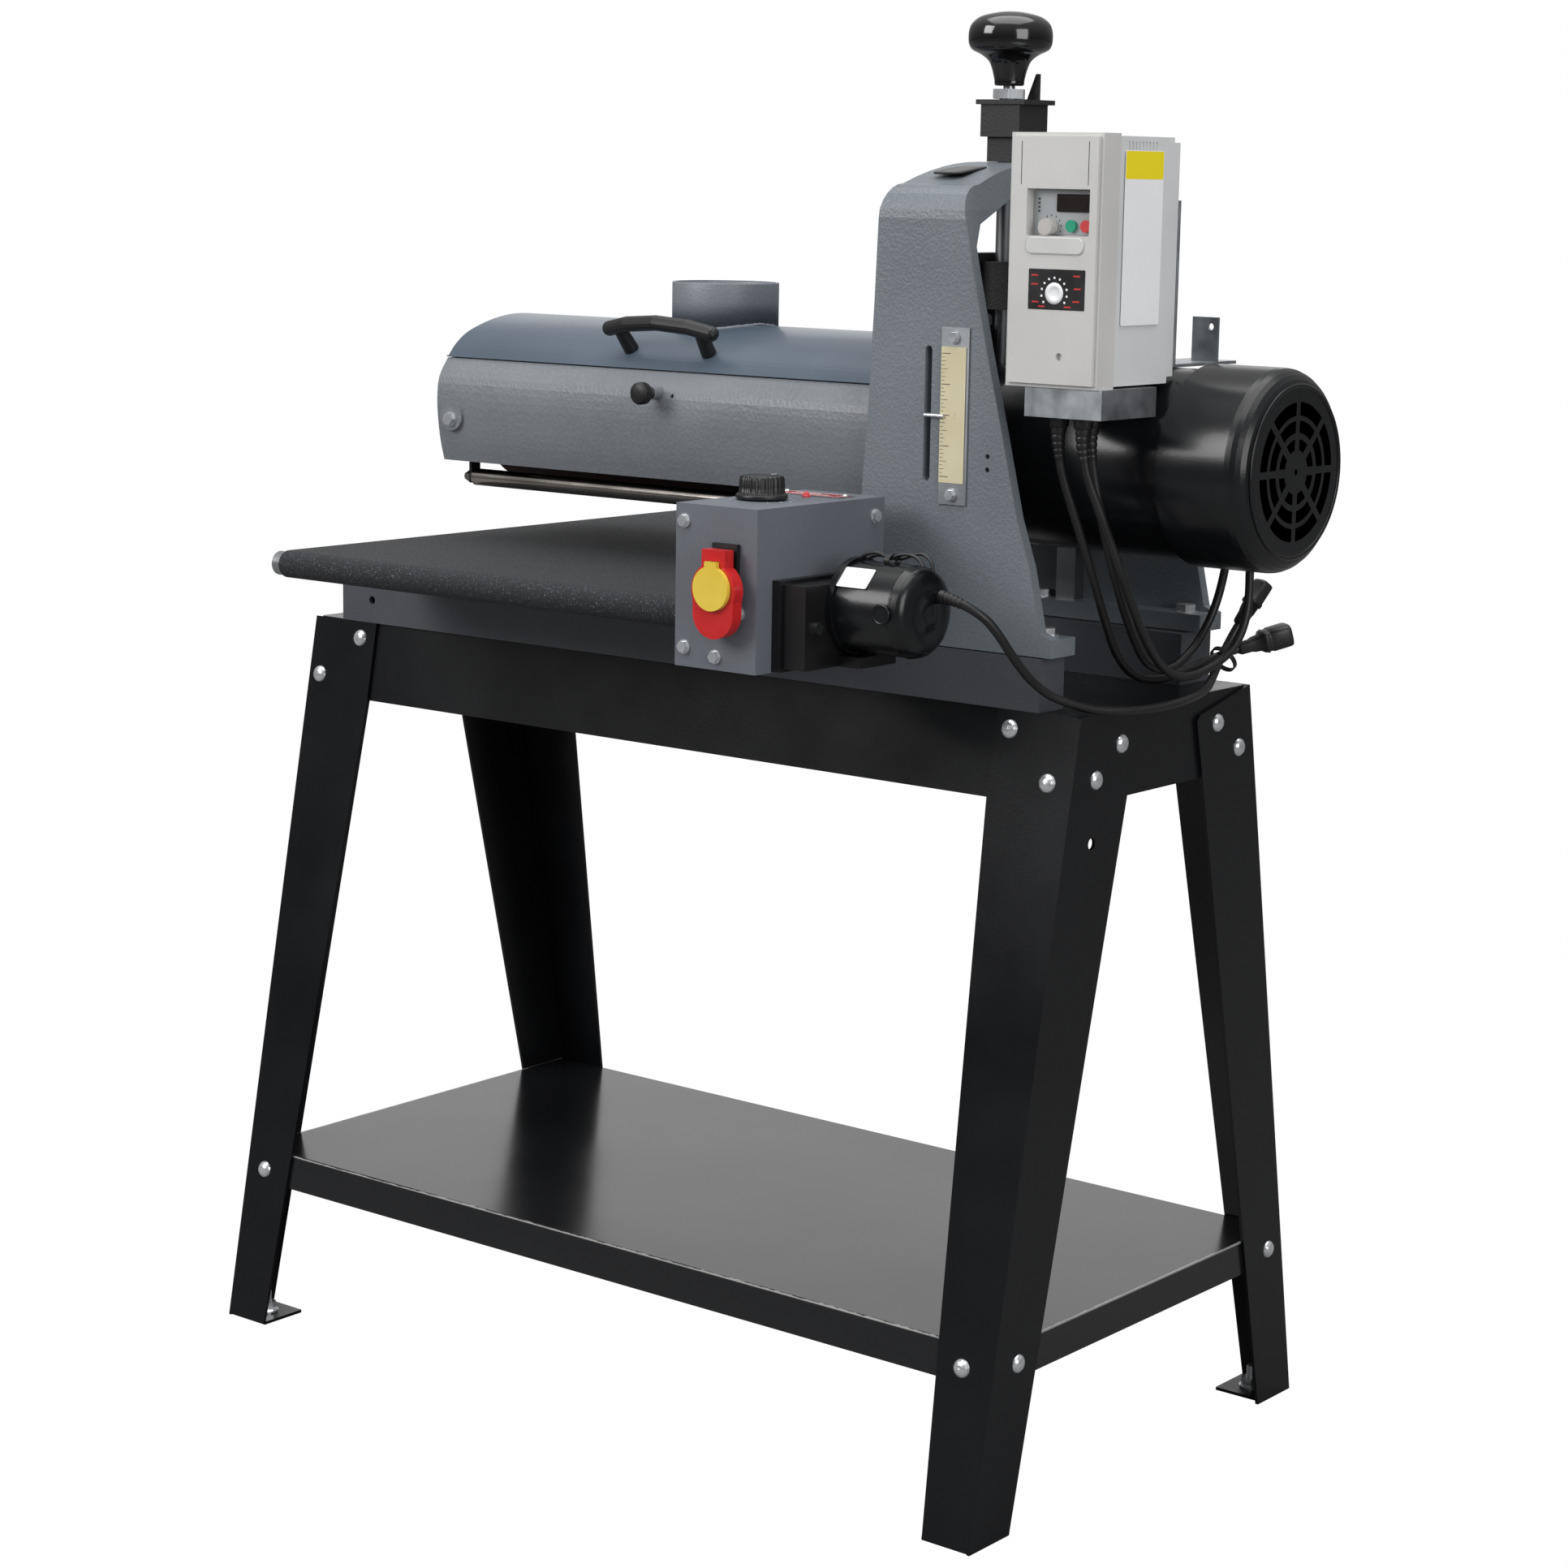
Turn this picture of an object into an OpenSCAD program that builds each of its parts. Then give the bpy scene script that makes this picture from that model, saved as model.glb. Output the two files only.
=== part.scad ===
/* [Stand] */
// Length of the stand over its end flanges
stand_length = 898; // [860:1:940]
// Height of the stand's top face
stand_top = 683; // [660:1:710]
// Depth of the stand at its top
stand_top_depth = 264; // [264:1:264]
// Depth of the stand at the floor
stand_floor_depth = 516; // [480:1:560]
// Height of the shelf's top face
shelf_top = 166; // [140:1:220]
// Thickness of the leg plate
leg_plate = 3; // [2.5:0.5:4]

/* [Conveyor] */
// Height of the belt's top face
belt_top = 770; // [768:0.5:770]
// Width of the belt
belt_width = 486; // [470:1:486]
// Outer length of the belt loop, front to back
belt_length = 605; // [580:1:605]

/* [Sanding head] */
// Radius of the bare drum
drum_radius = 62.5; // [60:0.5:62.5]
// Length of the drum
drum_length = 483; // [470:1:483]
// Outer diameter of the dust port
port_diameter = 98; // [90:1:100]
// Radius of the main motor's barrel
motor_radius = 79; // [76:1:79]
// Radius of the fan cover
fan_cover_radius = 84; // [82:1:84]

/* [Column] */
// Half of the outer depth of the column
column_half_depth = 132; // [132:1:132]
// Thickness of the column's walls
column_wall = 10; // [8:1:10]

/* [Hidden] */
$fn = 48;
half_length = stand_length / 2;
top_half = stand_top_depth / 2;
floor_half = stand_floor_depth / 2;
splay = atan((floor_half - top_half) / stand_top);
splay_length = stand_top / cos(splay);
apron_height = 74;
apron_plate = 2.5;
shelf_plate = 2.5;
shelf_lip = 32;
leg_front_width = 83;
leg_end_width = 86;
leg_front_foot = 49;
leg_end_foot = 57;
bolt_r = 4;
bolt_clear = 0.2;
foot_size = 50;
foot_thick = 3;
foot_centre = 22;

base_top = 728;
rail_x0 = -412;
rail_x1 = 407;
rail_depth = 35;
rail_wall = 5;
column_foot_top = 744;
column_outline = [
    [205, 729], [417, 729], [417, 744], [405, 749], [393, 802], [379, 841], [361, 913],
    [344, 978], [330, 1036], [318, 1090], [306, 1131], [238, 1131], [231, 1090],
    [228, 1010], [224, 925], [219, 856], [216, 744], [205, 744]];
gauge_x = 313;
slot_x = 286;
screw_x = 267;
screw_r = 8;
axis_z = 884;

drum_x0 = -290;
drum_x1 = drum_x0 + drum_length;
shaft_r = 12.5;
drum_bearing_r = 26;
housing_x0 = -300;
housing_x1 = 212;
housing_wall = 4;
carriage_x0 = 236;
carriage_x1 = 256;
// Side view of the cover's top, from front to rear, and of the housing's rear wall, upwards
cover_outline = smooth([
    [-101, 941], [-90, 953], [-74, 963.5], [-50, 972], [-25, 977.6], [0, 979.5],
    [25, 977.6], [50, 972], [74, 963.5], [90, 953], [101, 941]], 4);
wall_outer = smooth([[106, 844], [111, 862], [114.2, 882], [115.5, 903], [112.5, 923], [101, 940]], 3);
wall_inner = smooth([[97, 939.5], [108.5, 922], [111.5, 903], [110.2, 882], [107, 862], [102, 844]], 3);
end_arch = smooth([[90, 940.4], [74, 955], [50, 965], [25, 970.6], [0, 972.5], [-25, 970.6], [-50, 965],
    [-74, 955], [-90, 940.4]], 3);
hinge_y = 107;
hinge_z = 945;
hinge_r = 4;
roller_y = 90;
roller_z = 828.5;
roller_r = 8;

motor_x0 = 306;
motor_x1 = 478;
fan_x1 = 562;

belt_thick = 1.5;
nose_r = 12.5;
roller_axis_z = belt_top - nose_r;
roller_axis_y = belt_length / 2 - nose_r;
belt_x1 = 168;
belt_x0 = belt_x1 - belt_width;
conveyor_roller_r = nose_r - belt_thick;
conveyor_shaft_r = 5;

box_x0 = 180;
box_x1 = 265;
box_y0 = -328;
box_y1 = -161;
box_z0 = 720;
box_z1 = 853;
box_wall = 2;
gear_y = -240;
gear_z = 772;

inv_x0 = 378;
inv_x1 = 466;
inv_y0 = -155;
inv_y1 = -30;
inv_z0 = 951;
inv_z1 = 1152;

lead_r = 3.75;
tube_sides = 8;
// Lead from the conveyor's gearmotor, over the stand's top to its connector
conveyor_route = [
    [374, -229, 785], [386, -228, 783], [397, -225, 779], [406, -220, 773], [412, -214, 766],
    [417, -206, 755], [420, -196, 742], [422, -184, 729], [425, -169, 715], [430, -152, 703],
    [438, -134, 695], [448, -114, 689], [459, -90, 686], [467, -62, 685], [471, -28, 686],
    [469, 5, 688], [462, 36, 690], [452, 62, 694], [443, 85, 702], [440, 104, 717],
    [442, 117, 733], [446, 127, 748]];
// Mains lead from the inverter to its plug
supply_route = [
    [418, -132, 919], [418, -132, 905], [420, -128, 880], [427, -118, 845], [432, -102, 805],
    [431, -76, 760], [427, -48, 725], [424, -15, 704], [425, 22, 697], [432, 52, 702],
    [442, 76, 710], [453, 95, 717], [464, 109, 722]];
// Two leads from the inverter that loop back up to the main motor
motor_route_a = [
    [440, -118, 919], [440, -118, 905], [442, -115, 880], [446, -108, 845], [449, -92, 800],
    [447, -62, 752], [443, -28, 719], [439, 12, 708], [436, 48, 716], [436, 74, 735],
    [439, 89, 762], [444, 94, 800], [446, 94, 838]];
motor_route_b = [
    [444, -136, 919], [444, -136, 905], [447, -132, 880], [455, -120, 845], [462, -100, 800],
    [463, -66, 748], [460, -30, 717], [458, 8, 704], [460, 46, 708], [466, 74, 724],
    [468, 90, 752], [466, 95, 795], [464, 94, 838]];

// Box between two corners
module block(low, high) {
    translate(low) cube(high - low);
}

// Round bar along X, Y or Z between two places
module bar_x(r, x0, x1, y, z) {
    translate([x0, y, z]) rotate([0, 90, 0]) cylinder(r = r, h = x1 - x0);
}

module bar_y(r, y0, y1, x, z) {
    translate([x, y1, z]) rotate([90, 0, 0]) cylinder(r = r, h = y1 - y0);
}

module bar_z(r, z0, z1, x, y) {
    translate([x, y, z0]) cylinder(r = r, h = z1 - z0);
}

// Plate with an outline in Y and Z, from x0 to x1
module plate_yz(outline, x0, x1) {
    translate([x0, 0, 0]) rotate([90, 0, 90]) linear_extrude(x1 - x0) polygon(outline);
}

// Plate with an outline in X and Z, from y0 to y1
module plate_xz(outline, y0, y1) {
    translate([0, y1, 0]) rotate([90, 0, 0]) linear_extrude(y1 - y0) polygon(outline);
}

// One stand corner, drawn at the rear right and mirrored to the others
module at_corner(side_x, side_y) {
    mirror([side_x < 0 ? 1 : 0, 0, 0]) mirror([0, side_y < 0 ? 1 : 0, 0]) children();
}

// The leaning face of the stand: local Z runs up the slope from the top edge
module on_slope() {
    translate([0, top_half, stand_top]) rotate([splay, 0, 0]) children();
}

// Distances from the end of the stand and down the slope of a leg's three face bolts
function face_bolts(side_x) = side_x < 0
    ? [[63, 16], [14, 56], [24, 545]]
    : [[69, 16], [25, 56], [32, 545]];
// Distances from the middle of the stand and heights of a leg's three end bolts
function end_bolts(side_y) = side_y < 0
    ? [[70, 655], [107, 629], [195, 149]]
    : [[81, 655], [118, 629], [207, 149]];

module face_bolt_holes(side_x) {
    for (b = face_bolts(side_x))
        on_slope() bar_y(bolt_r + bolt_clear, -30, 30, half_length - b[0], -b[1]);
}

module end_bolt_holes(side_y) {
    for (b = end_bolts(side_y))
        bar_x(bolt_r + bolt_clear, half_length - 30, half_length + 30, b[0], b[1]);
}

module leg(side_x, side_y) {
    spare_hole = side_x > 0 && side_y < 0;
    difference() {
        union() {
            on_slope() plate_xz([
                [half_length, 0], [half_length - leg_front_width, 0],
                [half_length - leg_front_width, -apron_height - 1],
                [half_length - leg_front_foot, 1 - splay_length],
                [half_length, 1 - splay_length]], -leg_plate, 0);
            plate_yz([
                [top_half, stand_top], [52, 665], [47, 660], [60, 607],
                [floor_half - leg_end_foot, 0], [floor_half, 0]],
                half_length - leg_plate, half_length);
            block([half_length - foot_size, floor_half - foot_size, 0],
                [half_length - 1, floor_half - leg_plate / 2, foot_thick]);
        }
        face_bolt_holes(side_x);
        end_bolt_holes(side_y);
        if (spare_hole) bar_x(5, half_length - 10, half_length + 10, 111, 576);
        bar_z(5.2, -1, 10, half_length - foot_centre - 4, floor_half - foot_centre - 4);
    }
}

module front_legs() {
    color("#17181a") for (side = [-1, 1]) at_corner(side, -1) leg(side, -1);
}

module rear_legs() {
    color("#17181a") for (side = [-1, 1]) at_corner(side, 1) leg(side, 1);
}

// Distance from the middle of the stand of a face that lies inside the leaning face
function slope_y(inset, z) = top_half + (stand_top - z) * tan(splay) - inset / cos(splay);

module long_apron(side_y) {
    half = 443.3;
    low = stand_top - apron_height;
    inner = leg_plate + apron_plate;
    mirror([0, side_y < 0 ? 1 : 0, 0]) difference() {
        plate_yz([
            [slope_y(leg_plate, stand_top), stand_top], [slope_y(leg_plate, low), low],
            [slope_y(inner, low), low], [slope_y(inner, stand_top - apron_plate), stand_top - apron_plate],
            [81, stand_top - apron_plate], [81, stand_top]], -half, half);
        face_bolt_holes(1);
        mirror([1, 0, 0]) face_bolt_holes(-1);
    }
}

// One end's apron with the wide flange that closes part of the top
module end_apron(flange_width) {
    difference() {
        union() {
            plate_yz([[-126, stand_top], [126, stand_top], [139.4, 609], [-139.4, 609]],
                half_length - leg_plate - apron_plate, half_length - leg_plate);
            block([half_length - flange_width, -80.5, stand_top - apron_plate],
                [half_length - leg_plate - 1, 80.5, stand_top]);
        }
        end_bolt_holes(1);
        mirror([0, 1, 0]) end_bolt_holes(-1);
    }
}

module aprons() {
    color("#17181a") {
        long_apron(-1);
        long_apron(1);
        end_apron(200);
        mirror([1, 0, 0]) end_apron(60);
    }
}

// Side view of the shelf with its bent lips, hollow from below by the plate's thickness
module shelf_outline(inset, plate) {
    low = shelf_top - shelf_lip - plate;
    high = shelf_top - plate;
    bend = plate > 0 ? 0.2 : 2;
    polygon([
        [-slope_y(inset, low), low], [-slope_y(inset, high - bend), high - bend],
        [bend - slope_y(inset, high), high], [slope_y(inset, high) - bend, high],
        [slope_y(inset, high - bend), high - bend], [slope_y(inset, low), low]]);
}

module shelf() {
    lip_x = half_length - leg_plate - 0.3;
    color("#1a1b1d") difference() {
        translate([-lip_x, 0, 0]) rotate([90, 0, 90]) linear_extrude(2 * lip_x)
            shelf_outline(leg_plate, 0);
        translate([shelf_plate - lip_x, 0, 0]) rotate([90, 0, 90])
            linear_extrude(2 * (lip_x - shelf_plate)) shelf_outline(leg_plate + shelf_plate, shelf_plate);
        for (side = [-1, 1]) {
            at_corner(side, 1) face_bolt_holes(side);
            at_corner(side, -1) face_bolt_holes(side);
            at_corner(side, 1) end_bolt_holes(1);
            at_corner(side, -1) end_bolt_holes(-1);
        }
    }
}

// Round-headed bolt with its nut, head at z = 0 and shank downwards
module carriage_bolt(grip) {
    rotate_extrude() polygon([[0, 4], [3, 3.8], [5.5, 2.9], [7.3, 1.4], [8, 0],
        [bolt_r, 0], [bolt_r, -grip - 7], [0, -grip - 7]]);
    translate([0, 0, -grip - 6]) difference() {
        cylinder(r = 7.5, h = 6, $fn = 6);
        translate([0, 0, -1]) cylinder(r = bolt_r - 0.1, h = 8);
    }
}

module stand_fasteners() {
    color("#c9ccd0") for (side_x = [-1, 1], side_y = [-1, 1]) at_corner(side_x, side_y) {
        for (b = face_bolts(side_x))
            on_slope() translate([half_length - b[0], 0, -b[1]]) rotate([-90, 0, 0])
                carriage_bolt(leg_plate + apron_plate + 0.1);
        for (b = end_bolts(side_y))
            translate([half_length, b[0], b[1]]) rotate([0, 90, 0])
                carriage_bolt(leg_plate + apron_plate + 0.4);
        translate([half_length - foot_centre - 4, floor_half - foot_centre - 4, 0]) {
            cylinder(r = 5, h = 24);
            translate([0, 0, foot_thick]) cylinder(r = 11.5, h = 1.8);
            translate([0, 0, foot_thick + 1.8]) cylinder(r = 9.2, h = 8, $fn = 6);
        }
    }
}

// One rail of the base, a casting hollow from below
module base_rail(depth) {
    difference() {
        block([rail_x0, top_half - depth, stand_top], [rail_x1, top_half, base_top]);
        block([rail_x0 + rail_wall, top_half - depth + rail_wall, stand_top - 1],
            [rail_x1 - rail_wall, top_half - rail_wall, base_top - rail_wall]);
    }
}

module base_frame() {
    color("#4b4c50") difference() {
        union() {
            mirror([0, 1, 0]) base_rail(rail_depth);
            base_rail(48);
            block([-405, -98, 700], [-375, 86, base_top]);
            block([-60, -98, 700], [-30, 86, base_top]);
            block([180, -98, 700], [215, 86, base_top]);
        }
        bar_y(4, -140, -120, -372, 705);
    }
}

crown_height = 1129;
crown_edge = 104;
shoulder_r = column_half_depth - crown_edge;
shoulder_z = 1082;
column_outer = concat(
    [[-column_half_depth, 729]],
    [for (a = [180:-15:105]) [-crown_edge + shoulder_r * cos(a), shoulder_z + shoulder_r * sin(a)]],
    [for (i = [-6:6]) let (y = i * crown_edge / 6) [y, crown_height - 19 * pow(y / crown_edge, 2)]],
    [for (a = [75:-15:0]) [crown_edge + shoulder_r * cos(a), shoulder_z + shoulder_r * sin(a)]],
    [[column_half_depth, 729]]);
column_inner_y = column_half_depth - column_wall;
column_inner = [
    [-97, 728], [-97, column_foot_top], [-column_inner_y, column_foot_top],
    [-column_inner_y, 1060], [-112, 1078], [-45, 1106], [45, 1106], [112, 1078],
    [column_inner_y, 1060], [column_inner_y, column_foot_top], [97, column_foot_top], [97, 728]];

module column() {
    color("#6b7379") difference() {
        intersection() {
            plate_yz(column_outer, 205, 417);
            plate_xz(column_outline, -140, 140);
        }
        plate_yz(column_inner, 200, 420);
        block([slot_x - 3.5, -140, 869.5], [slot_x + 3.5, -120, 974.5]);
        for (z = [869.5, 974.5]) bar_y(3.5, -140, -120, slot_x, z);
        for (z = [879, 890]) bar_y(2.2, -140, -120, 348, z);
        bar_z(screw_r + 0.4, 1090, 1140, screw_x, 0);
    }
}

module column_ways() {
    color("#8f9396") for (side = [0, 1]) mirror([0, side, 0])
        block([258, column_inner_y - 14, column_foot_top], [278, column_inner_y, 1054]);
}

// Hexagon head of a screw of radius r, upwards from z = 0, on its washer
module screw_head(r) {
    cylinder(r = r * 1.9, h = r * 1.2, $fn = 6);
    translate([0, 0, -1]) cylinder(r = r * 2.3, h = 1);
}

box_screw_places = [[189, 839], [190, 736], [223, 731], [247, 768]];

module machine_screws() {
    color("#cfd2d5") {
        for (p = box_screw_places)
            translate([p[0], box_y0 - 1, p[1]]) rotate([90, 0, 0]) screw_head(2.6);
        translate([box_x1 + 1, -174, 838]) rotate([0, 90, 0]) screw_head(2.6);
        for (z = [856, 986])
            translate([gauge_x, -column_half_depth - 2.6, z]) rotate([90, 0, 0]) screw_head(2.4);
        for (side = [-1, 1]) for (x = [240, 395])
            translate([x, side * 109, column_foot_top + 1]) screw_head(5);
    }
}

module depth_gauge() {
    color("#a9adb0")
        block([300, -column_half_depth - 1.5, 848], [328, -column_half_depth, 994]);
    color("#ddd3b0")
        block([300.5, -column_half_depth - 2.2, 866], [325.5, -column_half_depth - 1.5, 978]);
}

module screw_bracket() {
    fin = [[277, 1181], [289, 1181], [289, 1203], [286, 1203]];
    color("#1b1c1e") difference() {
        union() {
            block([257, -16, crown_height + 0.1], [284, 16, 1150]);
            block([253, -21, 1150], [293, 21, 1177]);
            block([249, -23, 1177], [299, 23, 1181]);
            plate_xz(fin, 12, 15);
        }
        bar_z(screw_r + 0.06, 1120, 1190, screw_x, 0);
    }
}

module lead_screw() {
    color("#8c8f92") {
        bar_z(screw_r, 950, 1184, screw_x, 0);
        translate([screw_x, 0, 1182]) cylinder(r = 15, h = 8, $fn = 6);
        bar_z(5, 1190, 1199, screw_x, 0);
    }
}

module height_knob() {
    profile = [[0, 1199], [5.1, 1199], [5.1, 1193], [12, 1193], [13, 1198], [15, 1206], [18, 1213],
        [24, 1218], [32, 1222], [35, 1226], [36, 1232], [35.5, 1239], [33, 1245], [27, 1250],
        [18, 1253], [9, 1254.6], [0, 1255]];
    color("#0e0e10") translate([screw_x, 0, 0]) rotate_extrude() polygon(profile);
}

module head_carriage() {
    color("#1e1f21") difference() {
        union() {
            block([carriage_x0, -118, 810], [carriage_x1 + 1.7, 118, 985]);
            block([carriage_x0, -40, 985], [carriage_x1, 40, 1052]);
            block([carriage_x1, -24, 1005], [292, 24, 1045]);
            for (side = [0, 1]) mirror([0, side, 0]) {
                block([257, -107.7, 820], [294, -98, 985]);
                block([278.3, -118, 820], [294, -107.7, 985]);
            }
        }
        bar_x(drum_bearing_r + 0.05, 230, 260, 0, axis_z);
        bar_z(screw_r + 0.3, 1000, 1050, screw_x, 0);
    }
}

module head_bolts() {
    color("#cfd2d5") {
        for (y = [-13, 13]) translate([carriage_x1 + 1, y, 995]) rotate([0, 90, 0]) screw_head(3.4);
        translate([-281, -118.2, 884]) rotate([90, 0, 0]) screw_head(3.2);
    }
}

module depth_pointer() {
    color("#d5d7d9") {
        bar_y(1.5, -136, -118, slot_x, 921);
        bar_x(1.5, slot_x, 305, -136, 921);
    }
}

function inner_cover(wall) = [for (p = cover_outline) [p[0] * (1 - wall / 100), p[1] - wall]];
cover_ring_inner = concat([[-97.5, 930]], inner_cover(3.5), [[97.5, 930]]);

module roller_seats() {
    for (x = [-283, 197]) block([x, -111, 878], [x + 14, -82, 890]);
}

module housing_wall() {
    plate_yz(concat(wall_outer, wall_inner), housing_x0, carriage_x0);
}

knuckles = [[-280, -240], [-60, -20], [160, 200]];

module drum_housing() {
    color("#6a6e73") {
        difference() {
            union() {
                for (side = [0, 1]) mirror([0, side, 0]) {
                    housing_wall();
                    roller_seats();
                }
                plate_yz(concat(wall_outer, end_arch,
                    [for (i = [len(wall_outer) - 1:-1:0]) [-wall_outer[i][0], wall_outer[i][1]]]),
                    housing_x0, housing_x0 + 4);
                bar_x(28, housing_x0, -291, 0, axis_z);
                difference() {
                    plate_yz(concat([[-99.5, 937.5]], cover_outline, [[99.5, 937.5]]), 213, carriage_x0);
                    plate_yz(cover_ring_inner, 200, 240);
                }
                bar_y(6, -124, -110, -27, 922);
                bar_y(14, -117.2, -110, -281, axis_z + 3);
                for (k = knuckles) {
                    block([k[0] + 41, 102.5, 932], [k[0] + 60, 108.5, 943]);
                    bar_x(hinge_r, k[0] + 41, k[0] + 60, hinge_y, hinge_z);
                }
            }
            bar_x(20.05, housing_x0 + 2, -280, 0, axis_z);
            bar_y(4.3, -130, -100, -27, 922);
            bar_y(2, -120, -100, -10, 919.3);
            bar_x(hinge_r / 2 + 0.05, -300, 230, hinge_y, hinge_z);
        }
    }
}

module ring_x(outer, inner, x0, x1, y, z) {
    difference() {
        bar_x(outer, x0, x1, y, z);
        bar_x(inner, x0 - 1, x1 + 1, y, z);
    }
}

module drum_bearings() {
    color("#b5b8bb") {
        ring_x(20, shaft_r + 0.03, -297.5, -291, 0, axis_z);
        ring_x(drum_bearing_r, shaft_r + 0.03, carriage_x0 + 1, carriage_x1 + 1, 0, axis_z);
    }
}

module drum() {
    color("#b9bbbd") {
        difference() {
            bar_x(drum_radius, drum_x0, drum_x1, 0, axis_z);
            bar_x(drum_radius - 7, drum_x0 + 9, drum_x1 - 9, 0, axis_z);
        }
        bar_x(shaft_r, -297, drum_x1 + 98, 0, axis_z);
    }
}

module abrasive_wrap() {
    color("#7b4a32") ring_x(drum_radius + 1, drum_radius + 0.02, drum_x0 + 3, drum_x1 - 3, 0, axis_z);
}

module shaft_coupling() {
    color("#55585b") ring_x(27, shaft_r + 0.02, 277, 298, 0, axis_z);
}

module dust_cover() {
    port_x = -52;
    port_y = 10;
    port_foot = 981;
    color("#4b5763") difference() {
        union() {
            plate_yz(cover_outline, housing_x0, housing_x1);
            bar_z(port_diameter / 2 - 0.6, 958, port_foot, port_x, port_y);
            bar_z(port_diameter / 2, port_foot, 1017, port_x, port_y);
            for (k = knuckles) {
                block([k[0], 95, 942], [k[0] + 40, 107, 946]);
                bar_x(hinge_r, k[0], k[0] + 40, hinge_y, hinge_z);
            }
        }
        difference() {
            plate_yz(cover_ring_inner, housing_x0 - 1, housing_x1 + 1);
            bar_z(port_diameter / 2 - 0.6, 958, 1017, port_x, port_y);
            for (k = knuckles) block([k[0], 94.5, 942], [k[0] + 40, 110, 946]);
        }
        bar_z(port_diameter / 2 - 2.5, 950, 1020, port_x, port_y);
        bar_x(hinge_r / 2 + 0.05, -300, 230, hinge_y, hinge_z);
    }
}

module cover_hinge_pin() {
    color("#8c8f92") bar_x(hinge_r / 2, -281, 221, hinge_y, hinge_z);
}

module cover_handle() {
    arch = [[-60, 24], [-36, 30], [0, 33], [36, 30], [60, 24]];
    color("#141416") translate([-37, -85, 956.5]) rotate([37, 0, 0]) {
        for (i = [0:3]) hull() for (p = [arch[i], arch[i + 1]])
            translate([p[0], 0, p[1]]) sphere(r = 7, $fn = 16);
        for (side = [-1, 1]) hull() {
            translate([side * 46, 0, 0.5]) cylinder(r = 7, h = 2, $fn = 24);
            translate([side * 48, 0, 24]) cylinder(r = 6, h = 2, $fn = 24);
        }
    }
}

module cover_latch() {
    color("#161618") {
        bar_y(10, -141, -131, -27, 922);
        bar_y(3.9, -131, -111, -27, 922);
    }
}

// Sprung hangers of one pressure roller, drawn on the infeed side
module roller_hangers() {
    for (x = [-277, 202]) difference() {
        union() {
            block([x, -roller_y - 6, 823], [x + 3, -roller_y + 6, 862]);
            block([x - 4, -roller_y - 6, 859], [x + 7, -roller_y + 6, 862]);
        }
        bar_x(3.55, x - 5, x + 8, -roller_y, roller_z);
    }
}

module infeed_bracket() {
    color("#3b3d40") roller_hangers();
}

module outfeed_bracket() {
    color("#3b3d40") mirror([0, 1, 0]) roller_hangers();
}

module hanger_springs() {
    for (x = [-275.5, 203.5]) difference() {
        bar_z(5, 862, 878, x, -roller_y);
        bar_z(3.4, 861, 879, x, -roller_y);
    }
}

module infeed_springs() {
    color("#9fa3a6") hanger_springs();
}

module outfeed_springs() {
    color("#9fa3a6") mirror([0, 1, 0]) hanger_springs();
}

module pressure_roller() {
    bar_x(roller_r, -273, 200, -roller_y, roller_z);
    bar_x(3.5, -286, 208, -roller_y, roller_z);
    translate([-283, -roller_y, roller_z]) rotate([0, 90, 0]) cylinder(r = 5.5, h = 5, $fn = 6);
}

module infeed_roller() {
    color("#b8babb") pressure_roller();
}

module outfeed_roller() {
    color("#b8babb") mirror([0, 1, 0]) pressure_roller();
}

module motor_body() {
    color("#121315") difference() {
        union() {
            bar_x(75, carriage_x1 + 1.7, motor_x0 + 1, 0, axis_z);
            bar_x(motor_radius, motor_x0, motor_x1 + 8, 0, axis_z);
        }
        bar_x(62, carriage_x1 + 1, motor_x0 - 6, 0, axis_z);
        bar_x(motor_radius - 9, motor_x0 + 10, motor_x1 - 4, 0, axis_z);
        bar_x(12.6, motor_x0 - 20, motor_x1 + 20, 0, axis_z);
        block([250, -12, 930], [281, 12, 970]);
    }
}

module rotor_shaft() {
    color("#8c8f92") {
        bar_x(12, 292, 535, 0, axis_z);
        bar_x(52, 330, 450, 0, axis_z);
    }
}

fan_blades = 7;
module motor_fan() {
    color("#232427") difference() {
        union() {
            bar_x(22, 500, 530, 0, axis_z);
            bar_x(70, 500, 503, 0, axis_z);
            translate([0, 0, axis_z]) for (i = [1:fan_blades]) rotate([i * 360 / fan_blades, 0, 0])
                block([502, -1.5, 18], [527, 1.5, 70]);
        }
        bar_x(12.02, 490, 540, 0, axis_z);
    }
}

// Each ring of slots in the fan cover: inner radius, outer radius and the rib between two slots
slot_rings = [[46, 57, 6], [32, 42, 6], [18, 27, 7]];
module fan_cover() {
    edge_r = 18;
    rim = [for (a = [0:15:90])
        [fan_cover_radius - edge_r + edge_r * cos(a), fan_x1 - edge_r + edge_r * sin(a)]];
    inside = [for (a = [90:-30:0])
        [fan_cover_radius - edge_r + (edge_r - 3) * cos(a), fan_x1 - edge_r + (edge_r - 3) * sin(a)]];
    profile = concat([[fan_cover_radius, motor_x1 + 2]], rim, [[0, fan_x1], [0, fan_x1 - 3]],
        inside, [[fan_cover_radius - 3, motor_x1 + 2]]);
    color("#121315") translate([0, 0, axis_z]) rotate([0, 90, 0]) difference() {
        rotate_extrude() polygon(profile);
        for (ring = slot_rings) difference() {
            translate([0, 0, fan_x1 - 4]) cylinder(r = ring[1], h = 5);
            translate([0, 0, fan_x1 - 5]) cylinder(r = ring[0], h = 7);
            for (i = [0:3]) rotate([0, 0, i * 45])
                translate([-60, -ring[2] / 2, fan_x1 - 5]) cube([120, ring[2], 7]);
        }
        translate([0, 0, fan_x1 - 5]) cylinder(r = 2.5, h = 7);
    }
}

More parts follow.
